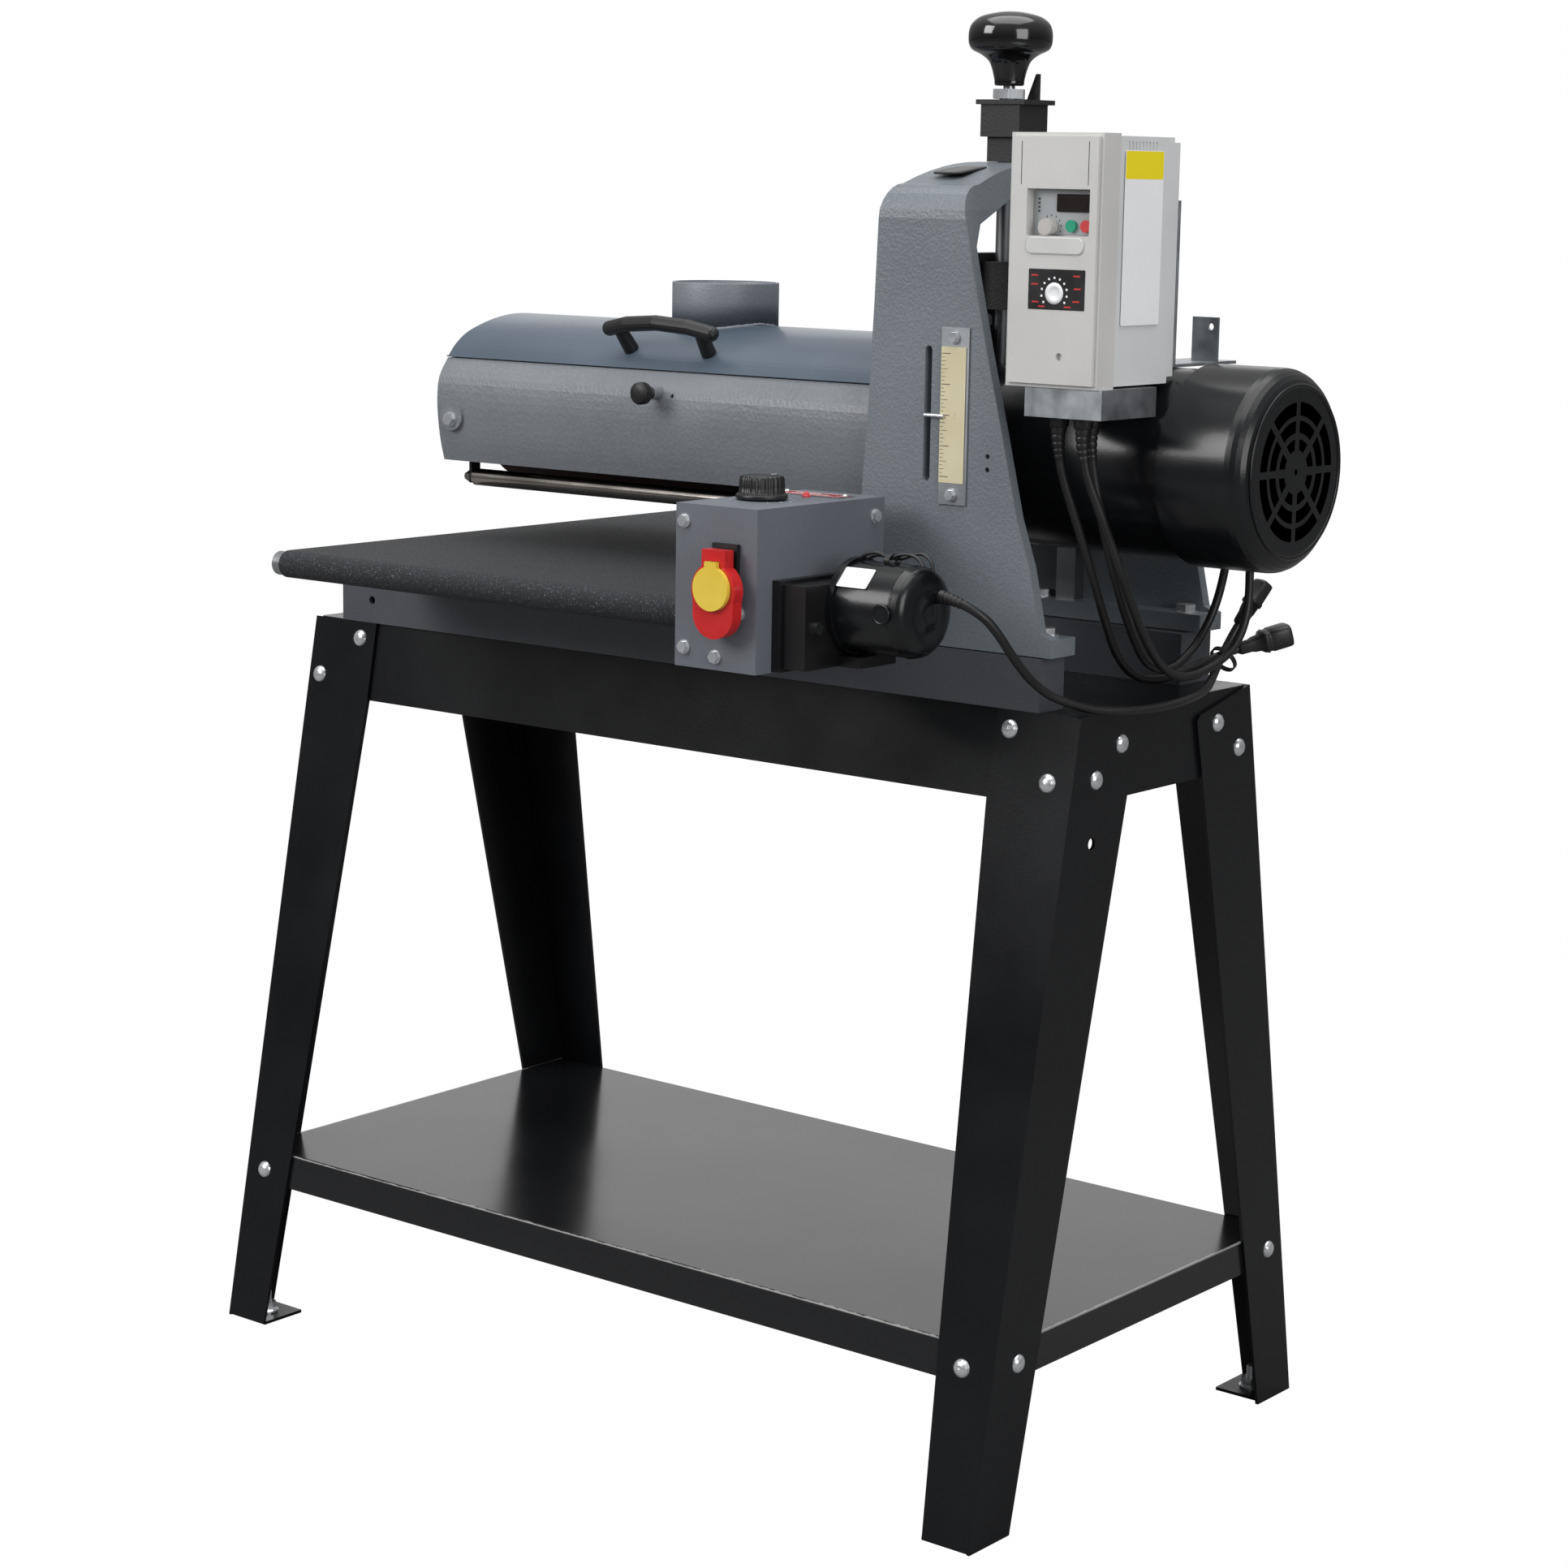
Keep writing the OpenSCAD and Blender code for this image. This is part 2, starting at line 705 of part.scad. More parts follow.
module terminal_box() {
    color("#17181a") {
        block([426, 80.5, 850], [479.5, 118, 925]);
        for (x = [446, 464]) bar_z(7, 838.4, 850, x, 94);
    }
}

module inverter_body() {
    color("#bdbbb8") {
        difference() {
            block([380, -128, 953], [465, -48, 1150]);
            for (i = [0:8]) block([464, -116 + i * 5, 1138], [466, -113.5 + i * 5, 1146]);
            for (i = [0:9]) block([390 + i * 7, -100, 1149], [393 + i * 7, -70, 1151]);
        }
        for (i = [0:9]) block([383 + i * 8.4, -48, 958], [385.5 + i * 8.4, -33, 1146]);
    }
}

module inverter_cover() {
    color("#c3c1be") difference() {
        union() {
            block([inv_x0, inv_y0 + 3, inv_z0], [inv_x1, -128, inv_z1]);
            block([inv_x0 + 3, inv_y0, inv_z0 + 3], [inv_x1 - 3, -140, inv_z1 - 3]);
        }
        block([396, -160, 1071], [456, -145, 1108]);
        bar_y(3.3, -150, -135, 414, 1078);
        for (x = [434, 448]) bar_y(5.2, -148, -135, x, 1079);
        bar_y(3, -160, -152, 431, 976);
    }
}

module inverter_knob() {
    color("#c9c8c6") {
        bar_y(6.5, -155.5, -146, 414, 1078);
        bar_y(3, -146, -137, 414, 1078);
    }
}

module keypad_button(x) {
    bar_y(4.8, -148.5, -139, x, 1079);
}

module run_button() {
    color("#22a57c") keypad_button(434);
}

module stop_button() {
    color("#d4404a") keypad_button(448);
}

module inverter_bracket() {
    color("#b4b9bd") {
        block([384, -32.5, 966], [462, -30, 1100]);
        block([400, -32.5, 963.3], [446, 92, 966]);
        block([421, 60, 966], [432, 63, 1003]);
    }
    color("#17181a") difference() {
        block([432, 60, 966], [446, 63, 1003]);
        bar_y(3, 55, 70, 439, 995);
    }
}

gland_places = [[418, -132], [440, -118], [444, -136]];
module conduit_box() {
    color("#a9b0b5") difference() {
        block([396, -150, 927], [470, -70, 951]);
        block([398, -148, 926.9], [468, -72, 949]);
    }
    color("#a9b0b5") block([398, -148, 927], [468, -72, 929]);
    color("#141416") for (p = gland_places) bar_z(7.5, 919.4, 927, p[0], p[1]);
}

module conveyor_bed() {
    bed_y = roller_axis_y - nose_r - 4;
    color("#6a6d70") difference() {
        block([belt_x0 - 2, -bed_y, belt_top - 22], [belt_x1 + 2, bed_y, belt_top - belt_thick - 0.2]);
        block([belt_x0 - 3, -bed_y + 3, belt_top - 23], [belt_x1 + 3, bed_y - 3, belt_top - 6]);
    }
}

// Side view of a loop of half width y and radius r round both roller axes
module loop_outline(r) {
    for (side = [-1, 1]) translate([side * roller_axis_y, roller_axis_z]) circle(r = r);
    translate([-roller_axis_y, roller_axis_z - r]) square([2 * roller_axis_y, 2 * r]);
}

module conveyor_belt() {
    color("#2f3133") translate([belt_x0, 0, 0]) rotate([90, 0, 90]) linear_extrude(belt_width)
        difference() {
            loop_outline(nose_r);
            loop_outline(nose_r - belt_thick);
        }
}

module conveyor_roller(side_y, shaft_end) {
    y = side_y * roller_axis_y;
    bar_x(conveyor_roller_r - 0.08, belt_x0 + 1, belt_x1 - 1, y, roller_axis_z);
    bar_x(conveyor_shaft_r, belt_x0 - 12, shaft_end, y, roller_axis_z);
}

module drive_roller() {
    color("#8c8f92") conveyor_roller(-1, 300);
}

module idler_roller() {
    color("#8c8f92") conveyor_roller(1, belt_x1 + 12);
}

// Side plate of the conveyor, with a bearing boss at each roller and two feet on the base
module conveyor_side(x, boss_x0, boss_x1) {
    difference() {
        union() {
            block([x, -296, belt_top - 20], [x + 5, 296, belt_top - 3]);
            for (side = [-1, 1]) {
                bar_x(11, boss_x0, boss_x1, side * roller_axis_y, roller_axis_z);
                block([x, side * 112 - 18, base_top], [x + 5, side * 112 + 18, belt_top - 19]);
            }
        }
        for (side = [-1, 1])
            bar_x(conveyor_shaft_r + 0.05, x - 20, x + 20, side * roller_axis_y, roller_axis_z);
    }
}

module conveyor_sides() {
    color("#9a9da0") {
        conveyor_side(belt_x0 - 7, belt_x0 - 11, belt_x0 - 2);
        conveyor_side(belt_x1 + 2, belt_x1 + 2, belt_x1 + 10);
    }
}

module control_box() {
    shaft_y = -roller_axis_y;
    color("#626369") difference() {
        block([box_x0, box_y0, box_z0], [box_x1, box_y1, box_z1]);
        block([box_x0 + box_wall, box_y0 + box_wall, box_z0 + box_wall],
            [box_x1 - box_wall, box_y1 - box_wall, box_z1 - box_wall]);
        bar_x(conveyor_shaft_r + 1, box_x0 - 5, box_x1 + 5, shaft_y, roller_axis_z);
        block([224, box_y0 - 5, 783], [245, box_y0 + 5, 822]);
        bar_z(4, box_z1 - 5, box_z1 + 5, 213, -259);
    }
    color("#962d33") block([179.5, -207, box_z1], [252, -184, box_z1 + 0.8]);
}

module speed_dial() {
    color("#1b1c1e") {
        translate([213, -259, box_z1 + 5]) cylinder(r = 19, h = 15);
        translate([213, -259, box_z1 + 1]) cylinder(r = 21.5, h = 4);
        bar_z(3.8, box_z1 - 12, box_z1 + 2, 213, -259);
    }
}

module switch_body() {
    color("#17181a") difference() {
        union() {
            block([221.5, box_y0 - 4, 781], [247.5, box_y0, 824]);
            block([224.3, box_y0 - 1, 783.3], [244.7, box_y0 + 24, 821.7]);
        }
        block([226, box_y0 - 10, 786], [243, box_y0 + 8, 820]);
    }
}

paddle_x = 234.5;
paddle_y = box_y0 - 13;
module switch_paddle() {
    color("#c8202b") difference() {
        union() {
            bar_y(22.5, paddle_y - 5, paddle_y + 6, paddle_x, 787);
            bar_y(21, paddle_y - 5, paddle_y + 6, paddle_x, 769);
            block([paddle_x - 21, paddle_y - 5, 769], [paddle_x + 21, paddle_y + 6, 787]);
            block([paddle_x - 12, paddle_y - 5, 800], [paddle_x + 12, paddle_y + 6, 820]);
            block([paddle_x - 6, paddle_y, 800], [paddle_x + 6, box_y0 + 4, 812]);
            bar_x(2.5, paddle_x - 8, paddle_x + 8, box_y0, 806);
        }
        bar_y(18.3, paddle_y - 10, paddle_y - 0.2, paddle_x, 789);
        block([paddle_x - 6.3, paddle_y - 10, 789], [paddle_x + 6.3, paddle_y - 0.2, 811]);
    }
}

module switch_key() {
    color("#ecd04a") {
        bar_y(18, paddle_y - 9, paddle_y - 0.5, paddle_x, 789);
        block([paddle_x - 6, paddle_y - 9, 789], [paddle_x + 6, paddle_y - 0.5, 810.5]);
    }
}

module gearbox() {
    color("#141416") difference() {
        union() {
            block([box_x1, -308, 721], [box_x1 + 9, -204, 795]);
            block([box_x1 + 9, -305, 724], [box_x1 + 32, -207, 792]);
            block([box_x1 + 32, -262, 724], [box_x1 + 55, -214, 733]);
        }
        bar_x(conveyor_shaft_r + 0.05, box_x1 - 5, box_x1 + 36, -roller_axis_y, roller_axis_z);
    }
}

module gearmotor() {
    profile = [[0, 0], [40, 0], [40, 6], [37.5, 6], [37.5, 62], [36.5, 67], [33, 71], [28, 73], [0, 73]];
    color("#121315") {
        translate([box_x1 + 32, gear_y, gear_z]) rotate([0, 90, 0])
            rotate_extrude() polygon(profile);
        for (side = [-1, 1]) translate([353, gear_y, gear_z]) rotate([side * 88, 0, 0])
            cylinder(r = 8, h = 40);
        bar_x(6, 366, 374, -229, 785);
    }
}

// One smooth stretch of a route through four of its points
function spline(a, b, c, d, t) =
    0.5 * ((2 * b) + (c - a) * t + (2 * a - 5 * b + 4 * c - d) * t * t
    + (3 * b - a - 3 * c + d) * t * t * t);
function route_point(r, i) = r[max(0, min(len(r) - 1, i))];
function smooth(r, steps) = concat(
    [for (i = [0:len(r) - 2]) for (j = [0:steps - 1]) spline(
        route_point(r, i - 1), r[i], r[i + 1], route_point(r, i + 2), j / steps)],
    [r[len(r) - 1]]);
function unit(v) = v / norm(v);
function tangent(p, i) = unit(p[min(len(p) - 1, i + 1)] - p[max(0, i - 1)]);

// Tube swept along a route: each ring stands square to the route
module tube(route, r) {
    path = smooth(route, 2);
    sides = tube_sides;
    last = len(path) - 1;
    rings = [for (i = [0:last]) let (
        t = tangent(path, i),
        u = unit(cross(t, [0.31, 0.94, 0.12])),
        v = cross(t, u))
        for (k = [0:sides - 1]) path[i] + r * (cos(k * 360 / sides) * u + sin(k * 360 / sides) * v)];
    walls = [for (i = [0:last - 1]) for (k = [0:sides - 1]) let (
        a = i * sides + k,
        b = i * sides + (k + 1) % sides)
        each [[a, a + sides, b + sides], [a, b + sides, b]]];
    polyhedron(rings, concat([[for (k = [0:sides - 1]) k]], walls,
        [[for (k = [sides - 1:-1:0]) last * sides + k]]));
}

module conveyor_lead() {
    color("#141416") tube(conveyor_route, lead_r);
}

module supply_lead() {
    color("#141416") tube(supply_route, lead_r);
}

module motor_lead_a() {
    color("#141416") tube(motor_route_a, lead_r);
}

module motor_lead_b() {
    color("#141416") tube(motor_route_b, lead_r);
}

// Place a piece at the end of a route, with its own Z along the route
module at_end(route) {
    last = route[len(route) - 1];
    way = unit(last - route[len(route) - 2]);
    translate(last) rotate([0, acos(way[2]), atan2(way[1], way[0])]) children();
}

module lead_ends() {
    color("#17181a") {
        at_end(conveyor_route) {
            cylinder(r = 6, h = 8);
            translate([-7, -9, 8]) cube([14, 18, 22]);
        }
        at_end(supply_route) {
            cylinder(r = 6, h = 10);
            translate([-10, -12, 10]) cube([20, 24, 24]);
        }
    }
}

front_legs();
rear_legs();
aprons();
shelf();
stand_fasteners();
base_frame();
column();
column_ways();
machine_screws();
depth_gauge();
screw_bracket();
lead_screw();
height_knob();
head_carriage();
head_bolts();
depth_pointer();
drum_housing();
drum_bearings();
drum();
abrasive_wrap();
shaft_coupling();
dust_cover();
cover_hinge_pin();
cover_handle();
cover_latch();
infeed_bracket();
outfeed_bracket();
infeed_springs();
outfeed_springs();
infeed_roller();
outfeed_roller();
motor_body();
rotor_shaft();
motor_fan();
fan_cover();
terminal_box();
inverter_body();
inverter_cover();
inverter_knob();
run_button();
stop_button();
inverter_bracket();
conduit_box();
conveyor_bed();
conveyor_belt();
drive_roller();
idler_roller();
conveyor_sides();
control_box();
speed_dial();
switch_body();
switch_paddle();
switch_key();
gearbox();
gearmotor();
conveyor_lead();
supply_lead();
motor_lead_a();
motor_lead_b();
lead_ends();
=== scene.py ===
import math

import bpy
import numpy as np
from mathutils import Matrix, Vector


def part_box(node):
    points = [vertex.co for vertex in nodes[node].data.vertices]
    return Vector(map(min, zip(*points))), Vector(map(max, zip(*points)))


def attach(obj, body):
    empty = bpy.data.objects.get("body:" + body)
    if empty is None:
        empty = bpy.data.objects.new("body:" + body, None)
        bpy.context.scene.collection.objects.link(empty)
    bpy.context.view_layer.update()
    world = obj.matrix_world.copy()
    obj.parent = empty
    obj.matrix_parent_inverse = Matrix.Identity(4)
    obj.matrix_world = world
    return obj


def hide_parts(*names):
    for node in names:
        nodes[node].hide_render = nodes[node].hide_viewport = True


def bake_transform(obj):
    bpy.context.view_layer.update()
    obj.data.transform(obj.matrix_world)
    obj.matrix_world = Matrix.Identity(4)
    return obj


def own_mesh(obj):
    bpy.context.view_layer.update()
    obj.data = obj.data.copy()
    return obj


# %% [markdown]
# # A drum sander on its stand
# A drum of 483 mm turns over a short conveyor belt. Motor, drum and housing ride up and down
# on a cast column, and the whole machine is bolted to a sheet-steel stand with a shelf.
# The hard parts come ready made, in metres, with their moving bodies. This lesson gives them
# their finishes and adds what is easier as a surface: leads, knobs, springs, labels, scales.

# %% Load the machine
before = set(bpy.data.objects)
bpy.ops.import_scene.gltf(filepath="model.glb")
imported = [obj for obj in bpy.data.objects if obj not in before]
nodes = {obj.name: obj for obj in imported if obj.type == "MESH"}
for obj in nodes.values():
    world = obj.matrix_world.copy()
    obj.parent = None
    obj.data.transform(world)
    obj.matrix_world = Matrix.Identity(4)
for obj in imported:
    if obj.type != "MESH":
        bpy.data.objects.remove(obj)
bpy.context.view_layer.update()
MM = 0.001


def put(name, data):
    """A new object that shows this data, linked to the scene."""
    obj = bpy.data.objects.new(name, data)
    bpy.context.scene.collection.objects.link(obj)
    return obj


# %% [markdown]
# ## Camera
# The machine is seen from the operator's right, a little above the belt. A long lens keeps
# the uprights nearly parallel. The camera's matrix is built from three angles, because they
# say what a photographer would do: walk round, tip down, and roll by a hair.

# %% Place the camera
AZIMUTH = math.radians(38.606)
TIP = math.radians(10.335)
ROLL = math.radians(0.964)
CAMERA_PLACE = (1.943254, -2.390541, 1.116994)
LENS = 76.96

ahead = np.array([-math.sin(AZIMUTH) * math.cos(TIP), math.cos(AZIMUTH) * math.cos(TIP), -math.sin(TIP)])
level = np.array([math.cos(AZIMUTH), math.sin(AZIMUTH), 0.0])
upright = np.cross(level, ahead)
side = math.cos(ROLL) * level + math.sin(ROLL) * upright
top = math.cos(ROLL) * upright - math.sin(ROLL) * level
camera = put("camera", bpy.data.cameras.new("camera"))
place = np.eye(4)
place[:3, 0], place[:3, 1], place[:3, 2], place[:3, 3] = side, top, -ahead, CAMERA_PLACE
camera.matrix_world = Matrix(place.tolist())
camera.data.lens = LENS
camera.data.sensor_width = 36.0
camera.data.clip_end = 50.0
bpy.context.scene.camera = camera
print("camera", CAMERA_PLACE, "lens", LENS)

# %% [markdown]
# ## One builder for every surface
# Each new piece is a stack of closed rings: a cord is rings along a route, a knob is rings
# round an axis, a label is the same outline four times. One function turns such a stack of
# shape (rings, points, 3) into a mesh and closes both ends with a fan round the ring's middle.

# %% Rings to mesh
def shell(name, rings, smooth=True):
    """Skins a stack of closed rings; the first and the last are closed by fans at their centres."""
    rings = np.asarray(rings, dtype=float)
    count, n = rings.shape[:2]
    points = np.concatenate([rings.reshape(-1, 3), rings[:1].mean(axis=1), rings[-1:].mean(axis=1)])
    i, k = np.meshgrid(np.arange(count - 1), np.arange(n), indexing="ij")
    here, beside = i * n + k, i * n + (k + 1) % n
    walls = np.stack([here, beside, beside + n, here + n], axis=-1).reshape(-1, 4)
    k = np.arange(n)
    low = np.stack([np.full(n, count * n), (k + 1) % n, k], axis=-1)
    high = np.stack([np.full(n, count * n + 1), (count - 1) * n + k, (count - 1) * n + (k + 1) % n], axis=-1)
    mesh = bpy.data.meshes.new(name)
    mesh.from_pydata(points.tolist(), [], walls.tolist() + low.tolist() + high.tolist())
    around = np.tile(np.arange(n) / n, count)
    along = np.repeat(np.linspace(0, 1, count), n)
    layer = mesh.uv_layers.new(name="surface")
    corner = np.zeros(len(mesh.loops), dtype=np.int32)
    mesh.loops.foreach_get("vertex_index", corner)
    uv = np.zeros((len(points), 2))
    uv[: count * n] = np.stack([around, along], axis=-1)
    uv[-1] = (0.5, 1.0)
    layer.data.foreach_set("uv", uv[corner].ravel())
    mesh.polygons.foreach_set("use_smooth", np.full(len(mesh.polygons), smooth))
    outward(mesh)
    return put(name, mesh)


def looped(name, rings, smooth):
    """Skins a stack of closed rings whose last ring joins the first, like a hose bent into a circle."""
    count, n = rings.shape[:2]
    i, k = np.meshgrid(np.arange(count), np.arange(n), indexing="ij")
    here, beside = i * n + k, i * n + (k + 1) % n
    faces = np.stack([here, beside, (beside + n) % (count * n), (here + n) % (count * n)], axis=-1)
    mesh = bpy.data.meshes.new(name)
    mesh.from_pydata(rings.reshape(-1, 3).tolist(), [], faces.reshape(-1, 4).tolist())
    mesh.polygons.foreach_set("use_smooth", np.full(len(mesh.polygons), smooth))
    outward(mesh)
    return put(name, mesh)


def outward(mesh):
    """Turns the mesh right side out if its signed volume, the sum of a.(b x c)/6, is negative."""
    mesh.calc_loop_triangles()
    tri = np.zeros(len(mesh.loop_triangles) * 3, dtype=np.int32)
    mesh.loop_triangles.foreach_get("vertices", tri)
    co = np.zeros(len(mesh.vertices) * 3)
    mesh.vertices.foreach_get("co", co)
    a, b, c = np.moveaxis(co.reshape(-1, 3)[tri.reshape(-1, 3)], 1, 0)
    if np.einsum("ij,ij->i", a, np.cross(b, c)).sum() < 0:
        mesh.flip_normals()


def unit(v):
    v = np.asarray(v, dtype=float)
    return v / np.linalg.norm(v, axis=-1, keepdims=True)


# %% Routes and tubes
def smooth_route(points, steps):
    """Catmull-Rom curve: between b and c the point is 0.5(2b + (c-a)t + (2a-5b+4c-d)t^2 + (3b-a-3c+d)t^3)."""
    p = np.asarray(points, dtype=float) * MM
    a, b, c, d = np.vstack([p[:1], p[:-2]]), p[:-1], p[1:], np.vstack([p[2:], p[-1:]])
    t = (np.arange(steps) / steps)[None, :, None]
    a, b, c, d = (q[:, None, :] for q in (a, b, c, d))
    curve = 0.5 * (2 * b + (c - a) * t + (2 * a - 5 * b + 4 * c - d) * t**2 + (3 * b - a - 3 * c + d) * t**3)
    return np.vstack([curve.reshape(-1, 3), p[-1:]])


def tube_rings(path, radius, sides=12, lean=(0.31, 0.94, 0.12)):
    """Circles square to a path: centre + r(cos k u + sin k v), with u and v both square to the tangent."""
    path = np.asarray(path, dtype=float)
    way = unit(np.gradient(path, axis=0))
    u = unit(np.cross(way, lean))
    v = np.cross(way, u)
    angle = np.linspace(0, 2 * math.pi, sides, endpoint=False)[None, :, None]
    r = np.broadcast_to(np.asarray(radius, dtype=float), (len(path),))[:, None, None]
    return path[:, None, :] + r * (np.cos(angle) * u[:, None, :] + np.sin(angle) * v[:, None, :])


def route_length(path):
    return float(np.linalg.norm(np.diff(path, axis=0), axis=1).sum())


# %% [markdown]
# ## Leads
# Four rubber leads of 7.5 mm: one from the conveyor's motor to its connector, one from the
# inverter to its plug, two from the inverter to the terminal box. A free cord is a fixed
# length of something springy, so each is one smooth curve through the points of its route.
# Three of them start on the head, which moves, and dip into a bundle that hangs still with
# the base; they are baked in place and ride with neither.

# %% Draw the leads
LEAD = 7.5 * MM
conveyor_route = [
    [374, -229, 785], [386, -228, 783], [397, -225, 779], [406, -220, 773], [412, -214, 766],
    [417, -206, 755], [420, -196, 742], [422, -184, 729], [425, -169, 715], [430, -152, 703],
    [438, -134, 695], [448, -114, 689], [459, -90, 686], [467, -62, 685], [471, -28, 686],
    [469, 5, 688], [462, 36, 690], [452, 62, 694], [443, 85, 702], [440, 104, 717],
    [442, 117, 733], [446, 127, 748],
]
supply_route = [
    [418, -132, 919], [418, -132, 905], [420, -128, 880], [427, -118, 845], [432, -102, 805],
    [431, -76, 760], [427, -48, 725], [424, -15, 704], [425, 22, 697], [432, 52, 702],
    [442, 76, 710], [453, 95, 717], [464, 109, 722],
]
motor_route_a = [
    [440, -118, 919], [440, -118, 905], [442, -115, 880], [446, -108, 845], [449, -92, 800],
    [447, -62, 752], [443, -28, 719], [439, 12, 708], [436, 48, 716], [436, 74, 735],
    [439, 89, 762], [444, 94, 800], [446, 94, 838],
]
motor_route_b = [
    [444, -136, 919], [444, -136, 905], [447, -132, 880], [455, -120, 845], [462, -100, 800],
    [463, -66, 748], [460, -30, 717], [458, 8, 704], [460, 46, 708], [466, 74, 724],
    [468, 90, 752], [466, 95, 795], [464, 94, 838],
]


def lead(name, node, route):
    """A lead along its route, standing for its plain solid; returns the piece and its centre line."""
    path = smooth_route(route, 8)
    piece = shell(name, tube_rings(path, LEAD / 2))
    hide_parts(node)
    print(name, round(route_length(path), 4), "m")
    return piece, path


conveyor_cord, conveyor_path = lead("conveyor_cord", "conveyor_lead", conveyor_route)
supply_cord, supply_path = lead("supply_cord", "supply_lead", supply_route)
motor_cord_a, motor_path_a = lead("motor_cord_a", "motor_lead_a", motor_route_a)
motor_cord_b, motor_path_b = lead("motor_cord_b", "motor_lead_b", motor_route_b)
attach(conveyor_cord, "base")
for piece in (supply_cord, motor_cord_a, motor_cord_b):
    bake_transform(piece)

# %% [markdown]
# ## Strain reliefs, plugs and the tie
# Where a lead leaves a housing, a tapered rubber sleeve spreads the bend. It is the same
# tube, with a radius that falls along the lead and dips at each groove.

# %% Sleeves
def sleeve(name, path, length, thick, body):
    """Tube round the first stretch of a path: radius from thick to the lead's, less at four grooves."""
    run = np.concatenate([[0], np.cumsum(np.linalg.norm(np.diff(path, axis=0), axis=1))])
    s = np.linspace(0, length, 49)
    line = np.stack([np.interp(s, run, path[:, axis]) for axis in range(3)], axis=-1)
    part = s / length
    radius = thick + (LEAD / 2 + 0.5 * MM - thick) * part
    radius = radius - 0.5 * MM * (np.sin(part * 5 * 2 * math.pi) > 0.35) * (part > 0.12) * (part < 0.95)
    piece = shell(name, tube_rings(line, radius, 20))
    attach(piece, body)
    return piece


def box_rings(line, half_u, half_v, u, v, corner=4.0, sides=32):
    """Rounded rectangles |x/a|^c + |y/b|^c = 1 carried along a straight line, with half sizes a and b."""
    angle = np.linspace(0, 2 * math.pi, sides, endpoint=False)
    cx = np.sign(np.cos(angle)) * np.abs(np.cos(angle)) ** (2 / corner)
    cy = np.sign(np.sin(angle)) * np.abs(np.sin(angle)) ** (2 / corner)
    a = np.asarray(half_u)[:, None, None] * cx[None, :, None] * np.asarray(u)
    b = np.asarray(half_v)[:, None, None] * cy[None, :, None] * np.asarray(v)
    return np.asarray(line)[:, None, :] + a + b


def cord_end(name, path, lengths, half_u, half_v):
    """A moulded end: rounded rectangles of the given half sizes, set square along the cord's last way."""
    way = unit(path[-1] - path[-9])
    u = unit(np.cross(way, (0, 0, 1)))
    v = np.cross(way, u)
    line = path[-1] + np.asarray(lengths)[:, None] * MM * way
    piece = shell(name, box_rings(line, np.array(half_u) * MM, np.array(half_v) * MM, u, v))
    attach(piece, "base")
    return piece


connector = cord_end(
    "connector", conveyor_path,
    [-14, -12, -3, 0, 6, 7, 10, 11, 27, 29, 30],
    [4.2, 5.2, 5.4, 6.0, 6.5, 8.6, 9.0, 8.2, 8.6, 8.2, 6.4],
    [4.2, 5.0, 5.2, 5.8, 6.0, 6.8, 7.0, 6.4, 6.8, 6.4, 5.0])
plug = cord_end(
    "plug", supply_path,
    [-14, -12, -3, 0, 6, 8, 11, 12, 15, 16, 31, 33, 34],
    [4.2, 5.2, 5.4, 6.4, 7.0, 10.6, 12.0, 11.0, 11.4, 12.0, 12.0, 11.6, 9.5],
    [4.2, 5.2, 5.4, 6.4, 7.0, 9.0, 10.0, 9.0, 9.4, 10.0, 10.0, 9.6, 8.0])
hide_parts("lead_ends")

conveyor_relief = sleeve("conveyor_relief", conveyor_path, 0.020, 5.6 * MM, "base")
supply_relief = sleeve("supply_relief", supply_path, 0.026, 6.6 * MM, "head")
motor_relief_a = sleeve("motor_relief_a", motor_path_a, 0.026, 6.4 * MM, "head")
motor_relief_b = sleeve("motor_relief_b", motor_path_b, 0.026, 6.4 * MM, "head")
box_relief_a = sleeve("box_relief_a", motor_path_a[::-1], 0.022, 6.4 * MM, "head")
box_relief_b = sleeve("box_relief_b", motor_path_b[::-1], 0.022, 6.4 * MM, "head")

# %% The tie round the bundle
def band(name, centre, u, v, half_u, half_v, width, thick, body):
    """Flat strap round an oval: the section is a thin rectangle that turns with the oval."""
    turn = np.linspace(0, 2 * math.pi, 64, endpoint=False)
    out = np.cos(turn)[:, None] * np.asarray(u) + np.sin(turn)[:, None] * np.asarray(v)
    ring = np.cos(turn)[:, None] * half_u * np.asarray(u) + np.sin(turn)[:, None] * half_v * np.asarray(v)
    across = np.cross(u, v)
    corners = [(-1, 0), (1, 0), (1, 1), (-1, 1)]
    rows = [centre + ring + out * thick * c[1] + across * width / 2 * c[0] for c in corners]
    obj = looped(name, np.stack(rows, axis=1), smooth=False)
    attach(obj, body)
    return obj


tie_way = unit([0.15, 0.80, 0.58])
tie_u = unit(np.cross(tie_way, (0, 0, 1)))
tie_v = np.cross(tie_way, tie_u)
tie = band("cable_tie", np.array([0.4465, 0.090, 0.7095]), tie_u, tie_v,
           half_u=0.0115, half_v=0.0115, width=0.004, thick=0.0012, body="base")

# %% [markdown]
# ## Knobs and springs
# A knob is a profile turned round an axis. Ribs for the fingers come from a radius that
# rises and falls with the angle, faded in only where the profile's own ribbing says so.

